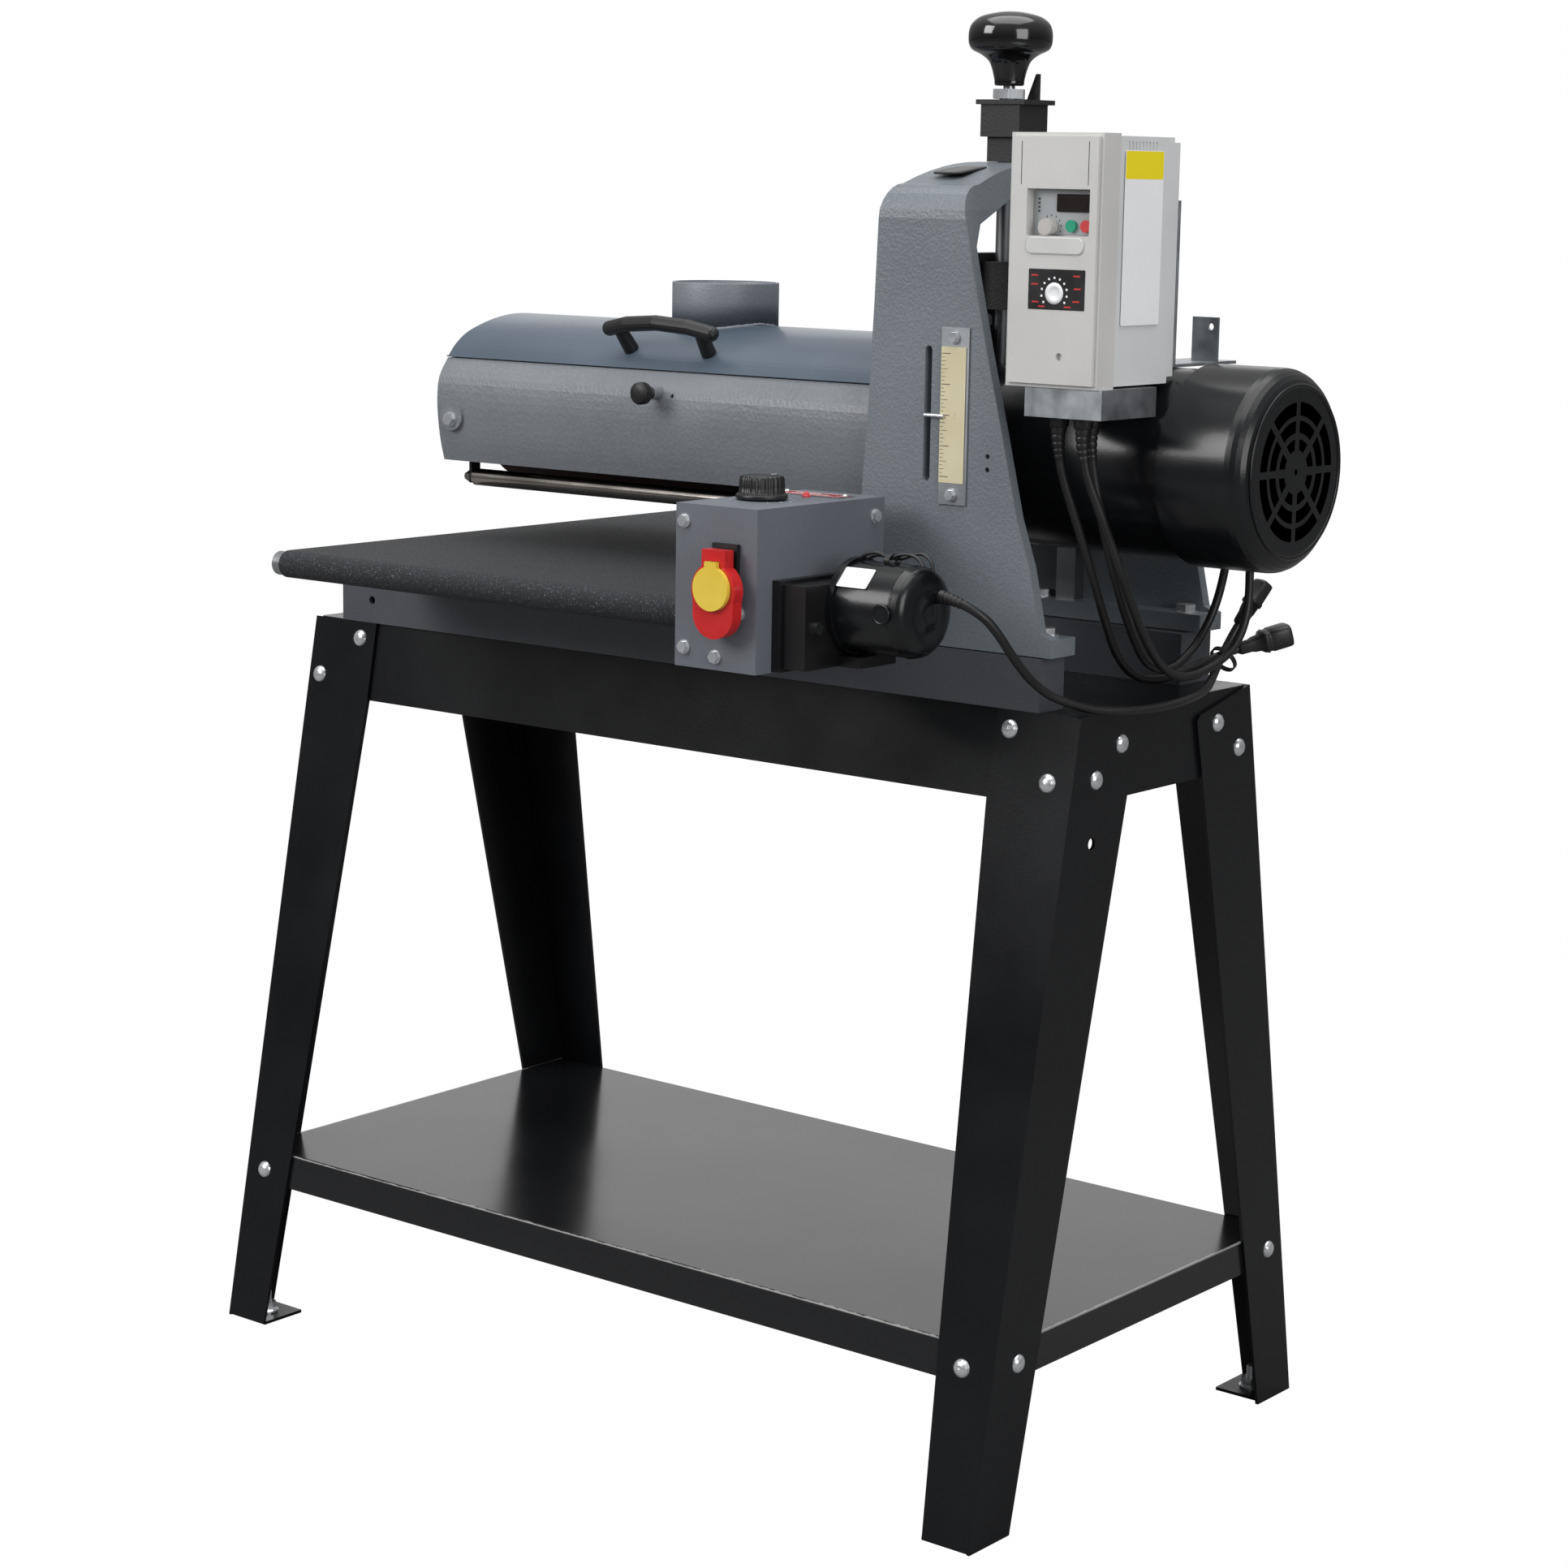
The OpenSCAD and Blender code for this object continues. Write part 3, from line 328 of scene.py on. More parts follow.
# %% Turned pieces
def turned(name, axis, centre, profile, body, flutes=0, depth=0.0, n=96):
    """Profile rows (r, h, w) in mm: a ring at height h of radius r(1 - depth w (1 + cos(flutes a)) / 2)."""
    w = unit(axis)
    u = unit(np.cross(w, (0.3, 0.5, 0.8)))
    v = np.cross(w, u)
    rows = np.asarray(profile, dtype=float)
    angle = np.linspace(0, 2 * math.pi, n, endpoint=False)[None, :]
    r = rows[:, :1] * MM * (1 - depth * rows[:, 2:3] * (0.5 + 0.5 * np.cos(flutes * angle)))
    rings = np.asarray(centre) * MM + (rows[:, 1] * MM)[:, None, None] * w
    rings = rings + r[..., None] * (np.cos(angle)[..., None] * u + np.sin(angle)[..., None] * v)
    piece = shell(name, rings)
    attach(piece, body)
    return piece


dial_skirt = 854.0
dial = turned("dial_knob", (0, 0, 1), (213, -259, dial_skirt), [
    (3.8, -13, 0), (3.8, 0, 0), (21.0, 0, 0), (21.5, 0.8, 0), (21.5, 3.2, 0), (20.6, 4, 0), (19.4, 4.4, 0),
    (19.2, 5, 1), (18.9, 10, 1), (18.6, 16, 1), (17.8, 18.2, 1), (16.4, 19.0, 0.6), (14.5, 19.0, 0),
    (13.8, 18.4, 0), (6, 18.4, 0), (1, 18.4, 0)], "speed_dial", flutes=24, depth=0.08)
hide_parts("speed_dial")
latch = turned("latch_knob", (0, -1, 0), (-27, -111, 922), [
    (3.4, 0, 0), (3.9, 0.5, 0), (3.9, 12, 0), (5.6, 12.4, 0), (5.6, 14, 0), (4.6, 14.4, 0), (4.6, 15.2, 0),
    (5.9, 15.6, 0), (5.9, 17.2, 0), (4.8, 17.6, 0), (4.8, 19, 0), (8.8, 19.6, 0), (9.8, 20.6, 1),
    (10, 21.5, 1), (10, 28, 1), (9.4, 29.2, 1), (8.2, 30, 0.3), (1, 30, 0)],
    "latch", flutes=30, depth=0.07, n=120)
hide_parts("cover_latch")
knob_outline = smooth_route([
    (5.1, 1193, 0), (12, 1193, 0), (13, 1198, 0), (15, 1206, 0), (18, 1213, 0), (24, 1218, 0), (32, 1222, 0),
    (35, 1226, 0), (36, 1232, 0), (35.5, 1239, 0), (33, 1245, 0), (27, 1250, 0), (18, 1253, 0),
    (9, 1254.6, 0), (0.5, 1255, 0)], 6) / MM
knob = turned("height_handwheel", (0, 0, 1), (267, 0, 0), knob_outline, "height_screw")
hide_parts("height_knob")

# %% Coil springs over the pressure rollers
def coil(name, x, y, low, high, radius, wire, turns):
    """Helix (R cos a, R sin a, h) with its ends wound flat, squeezed by the joint of its hanger."""
    a = np.linspace(0, turns * 2 * math.pi, turns * 20 + 1)
    part = a / a[-1]
    lift = np.clip((part - 0.12) / 0.76, 0, 1)
    z = low + wire / 2 + (high - low - wire) * lift
    path = np.stack([x + radius * np.cos(a), y + radius * np.sin(a), z], axis=-1) * MM
    piece = shell(name, tube_rings(path, wire / 2 * MM, 8, lean=(0, 0, 1)))
    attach(piece, "head")
    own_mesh(piece)
    return piece


springs = []
for which, y in (("infeed", -90), ("outfeed", 90)):
    for end, x in (("left", -275.5), ("right", 203.5)):
        springs.append(coil(f"{which}_spring_{end}", x, y, low=862, high=878, radius=4.3, wire=1.2,
                            turns=5))
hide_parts("infeed_springs")
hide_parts("outfeed_springs")

# %% [markdown]
# ## Plates, labels and printed marks
# Labels and badges are thin rounded plates. Each is one outline drawn four times, a little
# smaller at the bottom and top, so the rim catches the light. Small marks are gathered into
# one mesh, because a scale of forty lines is still one printed thing.

# %% Rounded plates
def plate(name, centre, u, v, size, body, thick=0.4, corner=1.5, soft=0.1):
    """Rounded rectangle in the plane of u and v, thick along u x v, set in by soft at both faces."""
    u, v = unit(u), unit(v)
    n = np.cross(u, v)
    a = np.linspace(0, 2 * math.pi, 32, endpoint=False) + math.pi / 32
    arm = np.stack([np.cos(a), np.sin(a)], axis=-1)
    half = np.array(size) / 2
    rows = []
    for inset, height in ((soft, 0), (0, soft), (0, thick - soft), (soft, thick)):
        c = max(corner - inset, 0.01)
        at = np.sign(arm) * (half - corner) + arm * c
        rows.append(np.asarray(centre) + at[:, :1] * u + at[:, 1:] * v + height * n)
    piece = shell(name, np.array(rows) * MM, smooth=False)
    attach(piece, body)
    return piece


X, Y, Z = np.eye(3)
COLUMN_TOP = (0, 1, 0.128)
badge = plate("column_badge", (270, -72, 1120.6), X, COLUMN_TOP, (30, 44), "base",
              thick=1.6, corner=7, soft=0.4)
badge_inner = plate("column_badge_inset", (270, -72, 1122.1), X, COLUMN_TOP, (24, 38), "base",
                    thick=0.25, corner=5)
label_strip = plate("box_label", (215.6, -195.5, 853.2), X, Y, (69, 20), "base", thick=0.9, corner=2)
GEARMOTOR_Y, GEARMOTOR_Z, GEARMOTOR_R = -240, 772, 37.3
label_centre = (318, GEARMOTOR_Y - GEARMOTOR_R * 0.72, GEARMOTOR_Z + GEARMOTOR_R * 0.70)
motor_label = plate("gearmotor_label", label_centre, X, (0, 0.70, 0.72), (30, 20), "base", thick=0.6)
print("labels", badge.name, badge_inner.name, label_strip.name, motor_label.name)

# %% Many small marks in one mesh
def marks(name, centres, sizes, u, v, body, thick=0.15):
    """Small bars: for each centre c, the four corners c +- a u +- b v and the same four lifted by thick."""
    u, v = unit(u), unit(v)
    n = np.cross(u, v) * thick
    c = np.asarray(centres, dtype=float)[:, None, :]
    half = np.asarray(sizes, dtype=float)[:, None, :] / 2
    signs = np.array([(-1, -1), (1, -1), (1, 1), (-1, 1)])
    low = c + half[..., :1] * signs[None, :, :1] * u + half[..., 1:] * signs[None, :, 1:] * v
    points = np.concatenate([low, low + n], axis=1)
    first = (np.arange(len(c)) * 8)[:, None, None]
    quads = np.array([(3, 2, 1, 0), (4, 5, 6, 7), (0, 1, 5, 4), (1, 2, 6, 5), (2, 3, 7, 6), (3, 0, 4, 7)])
    mesh = bpy.data.meshes.new(name)
    mesh.from_pydata((points * MM).reshape(-1, 3).tolist(), [], (first + quads[None]).reshape(-1, 4).tolist())
    outward(mesh)
    obj = put(name, mesh)
    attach(obj, body)
    return obj


SCALE_LOW = 871.0
INCH = 25.4
SCALE_FACE = -134.2
eighths = np.arange(0, 33)
length = np.select([eighths % 8 == 0, eighths % 4 == 0, eighths % 2 == 0], [9.0, 6.5, 4.5], 3.0)
tick_z = SCALE_LOW + eighths * INCH / 8
scale_ticks = marks(
    "scale_ticks",
    np.stack([301.0 + length / 2, np.full(33, SCALE_FACE), tick_z], axis=-1),
    np.stack([length, np.where(eighths % 8 == 0, 0.55, 0.35)], axis=-1), X, Z, "base")
print("scale", len(eighths), "lines over", round(tick_z[-1] - tick_z[0], 1), "mm")

# %% Numbers of the depth scale
def number(text, centre, size, u, v, body):
    """A printed figure: the outline of the text, given a thickness, laid in the plane of u and v."""
    curve = bpy.data.curves.new("figure_" + text, "FONT")
    curve.body = text
    curve.size = size
    curve.align_x = "CENTER"
    curve.align_y = "CENTER"
    curve.extrude = 0.05
    maker = put("figure", curve)
    bpy.context.view_layer.update()
    mesh = bpy.data.meshes.new_from_object(maker)
    bpy.data.objects.remove(maker)
    co = np.zeros(len(mesh.vertices) * 3)
    mesh.vertices.foreach_get("co", co)
    co = co.reshape(-1, 3)
    u, v = unit(u), unit(v)
    placed = (np.asarray(centre) + co[:, :1] * u + co[:, 1:2] * v + co[:, 2:] * np.cross(u, v)) * MM
    mesh.vertices.foreach_set("co", placed.ravel())
    mesh.update()
    obj = put("scale_figure_" + text, mesh)
    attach(obj, body)
    return obj


figures = [number(str(i), (315.5, SCALE_FACE, SCALE_LOW + i * INCH), 6.5, X, Z, "base")
           for i in range(5)]

# %% [markdown]
# ## The inverter's front
# The control window is sunk into the cover: a grey keypad, a dark display, a lit lip below
# it, and under that a black square with a printed dial. Everything rides on the head.

# %% Display, keypad and printed dial
FRONT = -155.0
SUNK = -145.0
keypad = plate("keypad_panel", (426, SUNK - 0.02, 1089.5), X, Z, (58, 35), "head", thick=0.8, corner=2)
display = plate("display_window", (435, SUNK - 0.8, 1097), X, Z, (31, 14), "head", thick=1.4, corner=1.2)
display_glass = plate("display_glass", (435, SUNK - 2.2, 1097), X, Z, (27, 10), "head",
                      thick=0.2, corner=0.8, soft=0.05)
window_lip = plate("window_lip", (424, FRONT + 0.3, 1063.5), X, Z, (56, 14), "head",
                   thick=1.6, corner=6.4, soft=1.0)
dial_square = plate("dial_label", (427, FRONT + 0.02, 1029), X, Z, (54, 32), "head",
                    thick=0.3, corner=0.8, soft=0.05)
dial_print = turned("dial_print", (0, -1, 0), (425, FRONT - 0.25, 1026), [
    (8.6, 0, 0), (8.6, 0.15, 0), (4.9, 0.2, 0), (4.8, 0.1, 0), (1, 0.1, 0)], "head")
sweep = np.radians(np.linspace(215, -35, 11))
dots = marks(
    "dial_dots",
    np.stack([425 + 12.3 * np.cos(sweep), np.full(11, FRONT - 0.25), 1026 + 12.3 * np.sin(sweep)], axis=-1),
    np.full((11, 2), 1.7), X, Z, "head")
words = [(406, 1040), (406, 1033), (446, 1040), (447, 1030), (446, 1020), (407, 1019),
         (413, 1015.5), (438, 1015.5)]
red_bars = marks(
    "dial_red_bars", [(x, FRONT - 0.25, z) for x, z in words],
    np.tile([6.5, 1.3], (len(words), 1)), X, Z, "head")
leds = marks(
    "keypad_lamps", [(402, SUNK - 0.8, 1100 - 3.2 * i) for i in range(4)],
    np.full((4, 2), 1.5), X, Z, "head", thick=0.5)
around_knob = np.radians(np.linspace(-50, 230, 11))
knob_ticks = marks(
    "knob_ticks", [(414 + 9.2 * math.cos(a), SUNK - 0.8, 1078 + 9.2 * math.sin(a)) for a in around_knob],
    np.tile([0.8, 1.5], (11, 1)), X, Z, "head")
grooves = marks(
    "cover_grooves", [(x, FRONT + 0.02, 1128) for x in (390, 454)], [(0.7, 34), (0.7, 34)], X, Z, "head",
    thick=0.05)
side_label = plate("side_label", (466.02, -93, 1070), Y, Z, (56, 138), "head",
                   thick=0.35, corner=1.5, soft=0.05)
side_band = plate("side_label_band", (466.36, -93, 1127.5), Y, Z, (55, 22), "head",
                  thick=0.08, corner=1.2, soft=0.02)
print("inverter front", keypad.name, display.name, display_glass.name, window_lip.name, dial_square.name)

# %% [markdown]
# ## Small parts of the control box and the conveyor's motor
# The box has a red plate with a lamp, pale outlines and the dial's marks; the motor has two
# thin wires that leave its end cap and dive into the flange, and a brush cap on each side.

# %% Lamp, outlines and wires
BOX_TOP = 853.0
lamp = turned("power_lamp", (0, 0, 1), (223, -213, BOX_TOP), [
    (3.6, 0, 0), (3.6, 1.2, 0), (2.6, 1.6, 0), (2.5, 2.6, 0), (2.0, 3.8, 0), (1.1, 4.4, 0), (0.3, 4.6, 0)],
    "base", n=40)
LABEL_TOP = 854.1
outline_at = [(215.5, -204.2), (215.5, -186.8), (183.8, -195.5), (247.2, -195.5), (215.5, -198.0),
              (209, -192.5)]
outline_size = [(63, 0.7), (63, 0.7), (0.7, 17), (0.7, 17), (40, 1.2), (26, 1.2)]
label_lines = marks(
    "box_label_lines", [(x, y, LABEL_TOP) for x, y in outline_at], outline_size, X, Y, "base", thick=0.05)
around_dial = np.radians(np.linspace(-130, 130, 11) + 90)
dial_marks = marks(
    "dial_scale", np.stack([213 + 26 * np.cos(around_dial), -259 + 26 * np.sin(around_dial),
                            np.full(11, BOX_TOP)], axis=-1), np.full((11, 2), 1.3), X, Y, "base")
pointer_line = marks("dial_pointer", [(213, -243.5, 873.0)], [(1.2, 7)], X, Y, "speed_dial", thick=0.1)
label_screws = []
for x in (184.8, 246.5):
    label_screws.append(turned(f"label_screw_{x:.0f}", (0, 0, 1), (x, -190.5, LABEL_TOP), [
        (2.6, -1, 0), (2.6, 0.2, 0), (2.2, 1.0, 0), (1.4, 1.4, 0), (0.4, 1.5, 0)], "base", n=32))

wire_route_a = [
    (363, -237, 808), (357, -236, 814), (348, -236, 817), (338, -238, 816), (332, -240, 813),
    (326, -241, 815), (318, -242, 817), (308, -243, 814), (301, -243, 808)]
wire_route_b = [
    (366, -228, 804), (362, -226, 812), (353, -225, 817), (342, -226, 815), (334, -229, 812),
    (325, -232, 813), (315, -233, 814), (306, -233, 811), (300, -234, 805)]
wires = []
for mark, route in (("a", wire_route_a), ("b", wire_route_b)):
    path = smooth_route(route, 6)
    wire = shell(f"motor_wire_{mark}", tube_rings(path, 1.5 * MM, 10, lean=(0.1, 0.9, 0.2)))
    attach(wire, "base")
    wires.append(wire)
    print(wire.name, round(route_length(path), 3), "m")
wire_clip = band("wire_clip", np.array([332, -237.5, 811.5]) * MM, Y, Z,
                 half_u=0.0075, half_v=0.0045, width=0.005, thick=0.001, body="base")

# %% Rings on the two motors
cap_seam = turned("gearmotor_cap", (1, 0, 0), (357, GEARMOTOR_Y, GEARMOTOR_Z), [
    (37.5, 0, 0), (38.0, 0.3, 0), (38.0, 1.2, 0), (37.0, 3.5, 0), (36.9, 5.5, 0), (35.8, 8.6, 0),
    (33.4, 11.5, 0), (28.6, 13.4, 0), (20, 13.9, 0), (12, 14.0, 0), (11.6, 14.5, 0), (4, 14.5, 0),
    (1, 14.5, 0)], "base")
fan_ring = turned("fan_cover_ring", (1, 0, 0), (561.5, 0, 884), [
    (72, 0, 0), (72, 0.6, 0), (71, 1.4, 0), (69, 1.4, 0), (68, 0.6, 0), (68, 0.2, 0), (68, 0.0, 0)],
    "head", n=128)
brush_caps = []
for turn, name in ((-1, "front"), (1, "back")):
    centre = (353, GEARMOTOR_Y + turn * 38.6, GEARMOTOR_Z + 1.2)
    brush_caps.append(turned(f"brush_cap_{name}", (0, turn, 0.03), centre, [
        (8.6, 0, 0), (8.6, 1.6, 0), (8.0, 2.2, 0), (6.6, 2.2, 0), (6.4, 1.2, 0), (3, 1.2, 0), (0.5, 1.2, 0)],
        "base", n=48))

# %% [markdown]
# ## Dust port and cover edge
# The port is a rolled tube welded to the cover and painted like the housing, so it gets a
# sleeve a hair outside the tube, a rounded rim and an uneven weld bead. Their colour is the
# housing's made lighter and bluer: painted light on the port's lit side. The cover's front
# edge is folded, which shows as a thin bright line.

# %% Port sleeve and weld
PORT_X, PORT_Y, PORT_TOP = -52.0, 10.0, 1017.0
PORT_R = 49.0
OUTER, INNER, BURIED = PORT_R + 0.25, PORT_R - 2.75, PORT_R - 2.3
around = np.linspace(0, 2 * math.pi, 128, endpoint=False)
arch_y = np.array([-101, -92, -76, -48, -20, 0, 20, 48, 76, 92, 101], dtype=float)
arch_z = np.array([941, 951, 963, 973, 978, 980, 978, 973, 963, 951, 941], dtype=float)


def port_ring(radius, height):
    """Circle of the port at a height; height None follows the cover's arch under the circle."""
    x = PORT_X + radius * np.cos(around)
    y = PORT_Y + radius * np.sin(around)
    z = np.interp(y, arch_y, arch_z) if height is None else np.full_like(around, height)
    return np.stack([x, y, z], axis=-1)


def port_wall(name, rows):
    """Rings up the outside, over the rim and down the inside, joined back to the first ring."""
    obj = looped(name, np.array(rows) * MM, smooth=True)
    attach(obj, "cover")
    return obj


port_foot = port_ring(OUTER, None)
port_sleeve = port_wall("port_sleeve", [
    port_foot, port_ring(OUTER, 1000), port_ring(OUTER, PORT_TOP - 0.8),
    port_ring(PORT_R - 0.1, PORT_TOP + 0.1), port_ring(PORT_R - 2.0, PORT_TOP + 0.1),
    port_ring(INNER, PORT_TOP - 0.7), port_ring(INNER, 960), port_ring(BURIED, 960),
    port_ring(BURIED, 990), port_ring(PORT_R, 990)])
bead = 0.25 * np.sin(37 * around) + 0.2 * np.sin(61 * around + 1.0)
weld_top = port_foot.copy()
weld_top[:, 2] += 2.0 + bead
weld_edge = port_foot.copy()
weld_edge[:, :2] += (2.2 + bead)[:, None] * np.stack([np.cos(around), np.sin(around)], axis=-1)
weld_edge[:, 2] = np.interp(weld_edge[:, 1], arch_y, arch_z) + 0.05
weld_swell = (weld_top + weld_edge) / 2
weld_swell[:, 2] += 0.35
weld_root = port_foot.copy()
weld_root[:, 2] -= 0.5
weld = port_wall("port_weld", [weld_top, weld_swell, weld_edge, weld_root])

# %% Folded front edge of the cover
COVER_LEFT, COVER_RIGHT = -300, 212
fold_y, fold_z = -101.6, 941.2
fold = marks(
    "cover_fold", [((COVER_LEFT + COVER_RIGHT) / 2, fold_y, fold_z)], [(COVER_RIGHT - COVER_LEFT, 1.0)],
    X, unit((0, 0.66, 0.75)), "cover", thick=1.0)
print("cover edge", fold.name)

# %% [markdown]
# ## Studio
# A floor, a room and soft lights: a wide one overhead, a key from the front left, a weak fill
# on the right and a panel behind, whose reflection greys the glossy shelf. The camera sees
# pure white all round, as in a catalogue. Every other ray meets a room that is dim near the
# horizon, so that black paint stays black. Two helpers write every shader tree from here on:
# one adds a node, the other feeds its inputs with values or links.

# %% Small helpers for shader trees
def feed(tree, node, inputs):
    """Gives each input its value, or a link when the value is another node's output."""
    for label, value in inputs.items():
        if isinstance(value, bpy.types.NodeSocket):
            tree.links.new(value, node.inputs[label])
        else:
            node.inputs[label].default_value = value


def add_node(tree, kind, inputs=None, **settings):
    """A new shader node: first its settings, then its inputs."""
    node = tree.nodes.new("ShaderNode" + kind)
    for label, value in settings.items():
        setattr(node, label, value)
    feed(tree, node, inputs or {})
    return node


def map_range(tree, value, low, high, to_low=0.0, to_high=1.0):
    """Low..high becomes to_low..to_high, and nothing goes beyond."""
    limits = {"From Min": low, "From Max": high, "To Min": to_low, "To Max": to_high}
    return add_node(tree, "MapRange", {"Value": value, **limits}).outputs["Result"]


def camera_sees(tree, shown, felt):
    """The camera's rays meet the first shader, all other rays the second."""
    ray = add_node(tree, "LightPath").outputs["Is Camera Ray"]
    return add_node(tree, "MixShader", {0: ray, 1: felt, 2: shown}).outputs["Shader"]


# %% Floor, room and lights
FLOOR_HALF = 14.0
UNDER_FEET = 0.0005
floor_mesh = bpy.data.meshes.new("floor")
floor_mesh.from_pydata([(x * FLOOR_HALF, y * FLOOR_HALF, 0) for x, y in ((-1, -1), (1, -1), (1, 1), (-1, 1))],
                       [], [(0, 1, 2, 3)])
floor = put("floor", floor_mesh)
floor.location.z = -UNDER_FEET

world = bpy.data.worlds.new("room")
bpy.context.scene.world = world
world.use_nodes = True
room = world.node_tree
room.nodes.clear()
direction = add_node(room, "TexCoord").outputs["Generated"]
upward = add_node(room, "SeparateXYZ", {"Vector": direction}).outputs["Z"]
white_room = add_node(room, "Background", {"Color": (1, 1, 1, 1), "Strength": 1.0})
dim_room = add_node(room, "Background", {"Strength": map_range(
    room, upward, low=-0.15, high=0.9, to_low=0.06, to_high=0.75)})
room_shader = camera_sees(room, white_room.outputs["Background"], dim_room.outputs["Background"])
add_node(room, "OutputWorld", {"Surface": room_shader})


def soft_light(name, place, target, size, watts):
    """A square soft light aimed at a point."""
    data = bpy.data.lights.new(name, "AREA")
    data.shape = "SQUARE"
    data.size = size
    data.energy = watts
    lamp_object = put(name, data)
    z = -unit(np.subtract(target, place))
    x = unit(np.cross((0.01, 0.02, 1.0), z))
    turn = np.eye(4)
    turn[:3, 0], turn[:3, 1], turn[:3, 2], turn[:3, 3] = x, np.cross(z, x), z, place
    lamp_object.matrix_world = Matrix(turn.tolist())


middle_of_machine = (0.05, 0.0, 0.75)
soft_light("overhead", place=(0.2, -0.2, 3.3), target=middle_of_machine, size=2.8, watts=30)
soft_light("key", place=(-1.6, -3.2, 2.6), target=middle_of_machine, size=1.8, watts=75)
soft_light("fill", place=(3.6, -1.4, 1.8), target=middle_of_machine, size=2.0, watts=48)
soft_light("panel_behind", place=(-2.6, 3.4, 1.5), target=(0, 0, 0.4), size=2.6, watts=16)
sky_data = bpy.data.lights.new("ceiling", "SUN")
sky_data.energy = 1.1
sky_data.angle = math.radians(70)
put("ceiling", sky_data)
bpy.context.scene.view_settings.view_transform = "Standard"

# %% [markdown]
# ## Finishes
# Paint on a machine is never one colour: it has orange peel, a hammered skin, or powder
# grain, and hands polish it unevenly. The effects that several finishes share are shader
# groups, each with named inputs and outputs; the shader itself stays in the material.

# %% Shared effects
def effect(name, inputs, outputs):
    """An empty shader group with its sockets; returns the tree and its two end nodes."""
    tree = bpy.data.node_groups.new(name, "ShaderNodeTree")
    for label, value in inputs.items():
        socket = tree.interface.new_socket(name=label, in_out="INPUT", socket_type="NodeSocketFloat")
        socket.default_value = value
    for label in outputs:
        tree.interface.new_socket(name=label, in_out="OUTPUT", socket_type="NodeSocketFloat")
    return tree, tree.nodes.new("NodeGroupInput"), tree.nodes.new("NodeGroupOutput")


def on_piece(tree):
    """The place on the piece, in metres."""
    return add_node(tree, "TexCoord").outputs["Object"]


def noise(tree, vector, scale, detail=3.0, rough=0.55):
    inputs = {"Vector": vector, "Scale": scale, "Detail": detail, "Roughness": rough}
    return add_node(tree, "TexNoise", inputs).outputs["Fac"]


def maths(tree, operation, *values):
    return add_node(tree, "Math", dict(enumerate(values)), operation=operation).outputs[0]


# Grain: fine noise for the skin and a slow noise for patches
grain, grain_in, grain_out = effect("grain", {"Fine": 900.0, "Patch": 9.0}, ("Height", "Patches"))
spot = on_piece(grain)
feed(grain, grain_out, {
    "Height": noise(grain, spot, grain_in.outputs["Fine"], detail=2.0),
    "Patches": noise(grain, spot, grain_in.outputs["Patch"], detail=4.0)})

# Hammered: soft cells, whose edges flow together, over a little fine noise
hammered, ham_in, ham_out = effect("hammered", {"Cells": 260.0, "Patch": 7.0}, ("Height", "Patches"))
spot = on_piece(hammered)
cells = add_node(hammered, "TexVoronoi", {
    "Vector": spot, "Scale": ham_in.outputs["Cells"], "Smoothness": 0.8}, feature="SMOOTH_F1")
fine = maths(hammered, "MULTIPLY", noise(hammered, spot, scale=500.0), 0.8)
feed(hammered, ham_out, {
    "Height": maths(hammered, "ADD", cells.outputs["Distance"], fine),
    "Patches": noise(hammered, spot, ham_in.outputs["Patch"], detail=4.0)})

# Brushed: noise stretched by a different scale on each axis
brushed, bru_in, bru_out = effect(
    "brushed", {"Along X": 40.0, "Along Y": 900.0, "Along Z": 900.0}, ("Height", "Patches"))
spot = on_piece(brushed)
stretch = add_node(brushed, "CombineXYZ", {axis: bru_in.outputs[f"Along {axis}"] for axis in "XYZ"})
scaled = add_node(brushed, "VectorMath", {0: spot, 1: stretch.outputs[0]}, operation="MULTIPLY")
feed(brushed, bru_out, {
    "Height": noise(brushed, scaled.outputs[0], scale=1.0),
    "Patches": noise(brushed, spot, scale=11.0)})
print("effects", [g.name for g in bpy.data.node_groups])

# %% A finish from an effect
# Noise seldom leaves this range, so the range is stretched to the full swing of a finish.
NOISE_LOW, NOISE_HIGH = 0.3, 0.7
SMOOTHEST = 0.02


def new_material(name):
    """A material, its tree and its Principled shader."""
    material = bpy.data.materials.new(name)
    material.use_nodes = True
    return material, material.node_tree, material.node_tree.nodes["Principled BSDF"]


def srgb(r, g, b):
    """Screen colour 0..255 to linear: ((c + 0.055) / 1.055)^2.4 above the toe."""
    c = np.array([r, g, b]) / 255
    line = np.where(c <= 0.04045, c / 12.92, ((c + 0.055) / 1.055) ** 2.4)
    return (*line.tolist(), 1.0)


def two_tone(tree, factor, dark, light):
    """Runs from the dark screen colour to the light one as the factor goes from 0 to 1."""
    inputs = {0: factor, 6: srgb(*dark), 7: srgb(*light)}
    return add_node(tree, "Mix", inputs, data_type="RGBA").outputs[2]


def relief(tree, height, strength, distance):
    """The normal of a surface raised by height times distance, as far as strength lets it show."""
    inputs = {"Height": height, "Strength": strength, "Distance": distance}
    return add_node(tree, "Bump", inputs).outputs["Normal"]


